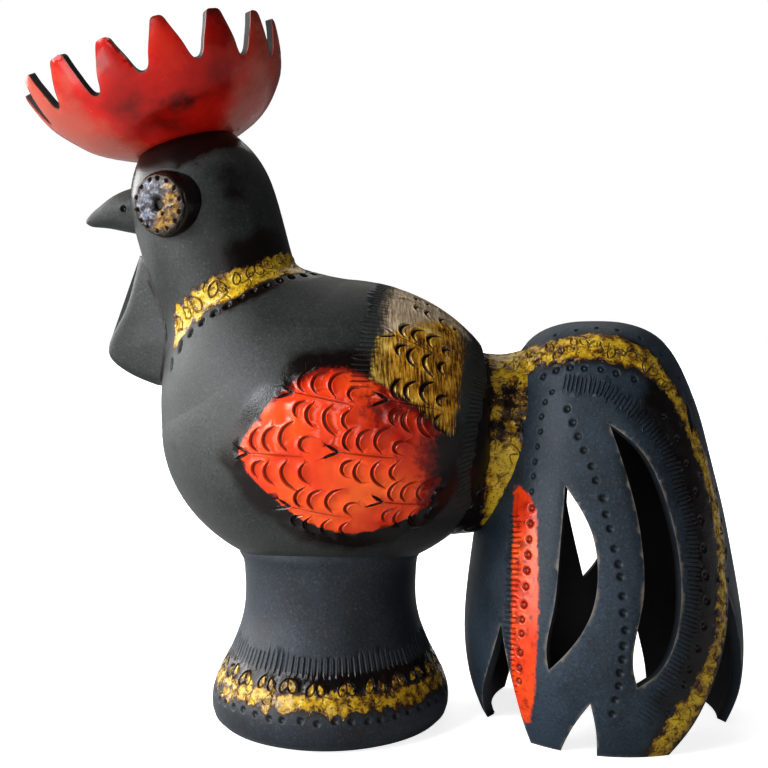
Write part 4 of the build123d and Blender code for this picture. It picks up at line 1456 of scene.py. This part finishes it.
stripe_dots = [
    (48, 132.5), (48, 124), (48, 115.5), (48, 107), (48, 98.5), (48, 90),
    (47.5, 80), (47, 72), (47, 64.5), (46.5, 54), (46, 45.5), (45.5, 38),
]
crown_dots = [(44, 207), (53, 211), (62.5, 213), (72, 212.5), (82.5, 212), (92, 209.5), (103, 206)]
dark_rings = [
    (117.5, 183.5), (123.5, 171), (127, 157), (129.5, 141.5), (129, 126.5), (128, 111.5), (126.5, 97),
    (125, 84), (121.5, 71.5), (117.5, 60.5), (113, 50.5), (110.5, 42.5), (104, 27),
]
outer_dots = [
    (40, 236), (60, 241), (82, 244), (104, 241), (122, 233), (134, 221), (143, 206.5), (149.5, 192),
    (152.5, 177.5), (154.5, 159.5), (153, 139.5), (149.5, 123), (148, 106.5), (144, 91), (138, 74), (132, 58),
]
yellow_outer = [
    (-6, 222), (34.5, 229), (61, 235), (84, 237.5), (105.5, 233), (122.5, 222.5), (134.5, 202), (141, 181),
    (149, 157.5), (149.5, 134.5), (145.5, 107), (139.5, 81), (131, 56), (122.5, 34), (115, 18.5), (105, -4),
]
yellow_inner = [
    (22, 204.5), (38, 213.5), (61.5, 217), (82, 217.5), (98.5, 213.5), (112, 209), (124, 197), (131, 177),
    (137.3, 154.5), (139.8, 131.7), (137.5, 104), (133, 82.7), (125.2, 60), (115, 41.5), (105, 24.3),
    (95, -4),
]
stripe = [
    (35.5, 143), (37, 135), (39, 116), (39.5, 102), (41.3, 80.5), (41.8, 59), (41.8, 36.5), (42.5, 22.5),
    (45.5, 8.5), (49, 16.5), (52.5, 30), (54.5, 57.5), (54.5, 84), (52.5, 116), (51, 132), (46.5, 139.5),
    (40, 144.5),
]
stripe_ticks = [(38.5, 128), (40.5, 116), (40.5, 103), (41.3, 81.5), (41.5, 60), (41, 40.5), (41.5, 30)]


def even_spots(wall, path, pitch):
    """Spots a pitch apart along a path on the wall, each with the heading of the path there."""
    line = smooth_line(path, 0.5)
    skin = wall.form.skin(line[:, 0], line[:, 1])
    walk = np.concatenate([[0.0], np.cumsum(np.linalg.norm(np.diff(skin, axis=0), axis=1))])
    at = np.arange(pitch / 2, walk[-1], pitch)
    spots = np.stack([np.interp(at, walk, line[:, 0]), np.interp(at, walk, line[:, 1])], 1)
    ahead = np.stack([np.interp(at + 0.5, walk, line[:, 0]), np.interp(at + 0.5, walk, line[:, 1])], 1)
    metric = np.stack([wall.form.radius(spots[:, 1]) * math.pi / 180, np.ones(len(spots))], 1)
    way = (ahead - spots) * metric
    return spots, np.degrees(np.arctan2(way[:, 1], way[:, 0]))


for side in (1, -1):
    mirror = np.array([side, 1.0])
    spots, heading = even_spots(tail_wall, tick_arc, 2.4)
    for (turn, rise), way in zip(spots, heading):
        out = math.radians(way + 90)
        step = np.array([math.cos(out) / tail_wall.per_degree(rise), math.sin(out)]) * 3.5
        ends = np.array([(turn, rise) - step, (turn, rise) + step]) * mirror
        path = ends[0] + (ends[1] - ends[0]) * np.linspace(0, 1, 7)[:, None]
        worn = np.interp(rise, (60, 150), (0.5, 1.0))
        tail_wall.press_line(path, 0.52, 0.75 * worn * rng.uniform(0.75, 1.0))
    for dots, radius, depth, kind in (
        (middle_dots, 1.95, 1.4, "hole"),
        (front_dots, 1.6, 1.0, "hole"),
        (stripe_dots, 1.9, 1.1, "ring"),
        (crown_dots, 1.95, 1.1, "ring"),
        (dark_rings, 2.0, 0.7, "ring"),
        (outer_dots, 1.5, 0.9, "hole"),
    ):
        for turn, rise in dots:
            tail_wall.press_hole(side * turn, rise, radius * rng.uniform(0.92, 1.08), depth, kind)
    band_middle = (np.array(yellow_outer) + np.array(yellow_inner)) / 2
    spots, heading = even_spots(tail_wall, band_middle, 7.0)
    for (turn, rise), way in zip(spots, heading):
        if rise < 9:
            continue
        if rise > 195:
            swing = way + rng.uniform(-70, 70)
            size = rng.uniform(0.8, 1.2)
            tail_wall.press_petal(side * turn, rise + rng.uniform(-2.5, 2.5), side * (90 - swing), size)
        for scratch in range(2):
            hook = random_hook((2, 3), (1, 2), (3, 6), (-2, 2))
            spin = rng.uniform(0, 360)
            spot = side * (turn + rng.uniform(-3, 3))
            tail_wall.press_shape(spot, rise + rng.uniform(-3, 3), spin, hook, 0.5, 0.6)
    spots, _ = even_spots(tail_wall, stripe_ticks, 2.9)
    for turn, rise in spots:
        path = np.array([(turn - 2.2, rise - 0.4), (turn, rise), (turn + 2.2, rise + 0.4)]) * mirror
        tail_wall.press_line(path, 0.55, 0.7)
    zone = np.array(yellow_outer[1:-1] + yellow_inner[1:-1][::-1], float) * mirror
    tail_wall.zones.append((zone, 1.9))
band_outline = yellow_outer + yellow_inner[::-1]
dark_outline = tick_arc[4:] + [(90, 8), (100, 2)] + yellow_outer[5:][::-1]


def tail_outside(turn, rise, skin):
    dent, lip = tail_wall.relief(turn, rise)
    mirrored = np.abs(turn)
    band = within(tail_wall, mirrored, rise, band_outline, 3.8)
    red = within(tail_wall, mirrored, rise, stripe, 3.6)
    near_band = within(tail_wall, mirrored, rise, band_outline, 10.0)
    dark = within(tail_wall, mirrored, rise, dark_outline, 5.0)
    smoked = 0.6 * dark * held(rise / 40)
    lump = lumps(skin, 4.0, 11) * 0.55 * held(band * 2 - 0.6)
    paint = {
        "yellow": band * (np.interp(rise, (20, 110), (1.28, 1.06)) + 0.34 * lumps(skin, 5.0, 12)),
        "red": 0.9 * red,
        "burn": np.max([np.clip(near_band * 1.5 - 0.3, 0, 0.8), smoked, 0.24 * red], axis=0),
        "pressed": held(-dent / 0.8),
    }
    return dent + lip + lump, paint


tail_piece = Piece("thrown_tail")
shell(tail_piece, tail_wall, tail_thickness, tail_outside, 6.0, 0.22, tail_wall.high)
tail = tail_piece.make(slate_clay_with_blue_sheen)
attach(tail, "root")
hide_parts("tail")

# Stage: a wide pale floor without an edge, a low window light from the left, a weak light from behind
# for the far side, and the camera at the photograph's angle.
floor_mesh = bpy.data.meshes.new("pale_floor")
floor_rings = (0.6, 3.0, 60.0)
floor_sides = 72
floor_points = [(0.0, 0.0, 0.0)]
floor_faces = []
for floor_ring in floor_rings:
    for side in range(floor_sides):
        angle = 2 * math.pi * side / floor_sides
        floor_points.append((floor_ring * math.cos(angle), floor_ring * math.sin(angle), 0.0))
for side in range(floor_sides):
    after = (side + 1) % floor_sides
    floor_faces.append((0, 1 + side, 1 + after))
    for inner in range(1, 1 + floor_sides * (len(floor_rings) - 1), floor_sides):
        outer = inner + floor_sides
        floor_faces.append((inner + side, outer + side, outer + after, inner + after))
floor_mesh.from_pydata(floor_points, [], floor_faces)
floor = bpy.data.objects.new("pale_floor", floor_mesh)
bpy.context.scene.collection.objects.link(floor)
floor_finish = Finish("pale_floor")
floor_finish.shader.inputs["Specular IOR Level"].default_value = 0.0
floor_tone = floor_finish.blend(floor_finish.grain(300, 2), (0.66, 0.66, 0.66), (0.68, 0.68, 0.68))
floor_seen = floor_finish.tree.nodes.new("ShaderNodeLightPath").outputs["Is Camera Ray"]
floor_finish.shader.inputs["Emission Color"].default_value = (1.0, 1.0, 1.0, 1.0)
floor_reach = floor_finish.tree.nodes.new("ShaderNodeVectorMath")
floor_reach.operation = "LENGTH"
floor_finish.put(floor_reach.inputs[0], floor_finish.place)
floor_glow = floor_finish.spread(floor_reach.outputs["Value"], 0.3, 0.9, 0.82, 1.02)
floor_light = floor_finish.times(floor_seen, floor_glow)
floor_finish.put(floor_finish.shader.inputs["Emission Strength"], floor_light)
floor_tooth = floor_finish.bump(floor_finish.grain(40, 2), 0.02, 0.2)
floor_mesh.materials.append(floor_finish.done(floor_tone, 0.9, floor_tooth))

world = bpy.data.worlds.new("studio")
bpy.context.scene.world = world
world.use_nodes = True
backdrop = world.node_tree.nodes["Background"]
backdrop.inputs["Color"].default_value = (1.0, 1.0, 1.0, 1.0)
ray = world.node_tree.nodes.new("ShaderNodeLightPath")
glow = world.node_tree.nodes.new("ShaderNodeMapRange")
glow.inputs["To Min"].default_value = 0.10
glow.inputs["To Max"].default_value = 1.0
world.node_tree.links.new(ray.outputs["Is Camera Ray"], glow.inputs["Value"])
world.node_tree.links.new(glow.outputs["Result"], backdrop.inputs["Strength"])


def soft_light(name, bearing, height, spread, strength, colour):
    """Even light from far away: bearing to the left of the camera and height above the floor in degrees."""
    lamp = bpy.data.lights.new(name, "SUN")
    lamp.energy = strength
    lamp.angle = math.radians(spread)
    lamp.color = colour
    turn, rise = math.radians(bearing), math.radians(height)
    toward = Vector((math.sin(turn) * math.cos(rise), math.cos(turn) * math.cos(rise), -math.sin(rise)))
    holder = bpy.data.objects.new(name, lamp)
    holder.rotation_euler = toward.to_track_quat("-Z", "Y").to_euler()
    bpy.context.scene.collection.objects.link(holder)


def broad_light(name, at, aim, width, height, watts, colour):
    """A glowing rectangle, as a window or a white card gives, turned to face a spot."""
    lamp = bpy.data.lights.new(name, "AREA")
    lamp.shape = "RECTANGLE"
    lamp.size = width
    lamp.size_y = height
    lamp.energy = watts
    lamp.color = colour
    holder = bpy.data.objects.new(name, lamp)
    holder.location = at
    holder.rotation_euler = (Vector(aim) - Vector(at)).to_track_quat("-Z", "Y").to_euler()
    holder.visible_camera = False
    bpy.context.scene.collection.objects.link(holder)


broad_light("window_left", (-0.684, -0.554, 0.585), (-0.03, 0, 0.20), 0.26, 0.34, 6.2, (0.92, 0.97, 1.0))
broad_light("white_card", (-0.50, -0.38, 0.14), (0.0, 0.0, 0.19), 0.40, 0.22, 1.5, (1.0, 0.99, 0.98))
soft_light("pale_wall", 100, 8, 76, 7.2, (1.0, 1.0, 1.0))
soft_light("front_fill", 2, 12, 24, 0.75, (1.0, 1.0, 1.0))
soft_light("back_light", 170, 50, 60, 0.8, (1.0, 0.99, 0.97))

camera_data = bpy.data.cameras.new("camera")
camera_data.sensor_width = 36.0
camera_data.lens = 49.22
camera_data.shift_y = -0.0573
camera = bpy.data.objects.new("camera", camera_data)
camera.location = (-0.0005, -0.630, 0.2226)
camera.rotation_euler = (math.radians(90), 0, 0)
bpy.context.scene.collection.objects.link(camera)
bpy.context.scene.camera = camera
bpy.context.scene.view_settings.view_transform = "Standard"
bpy.context.scene.view_settings.gamma = 0.82
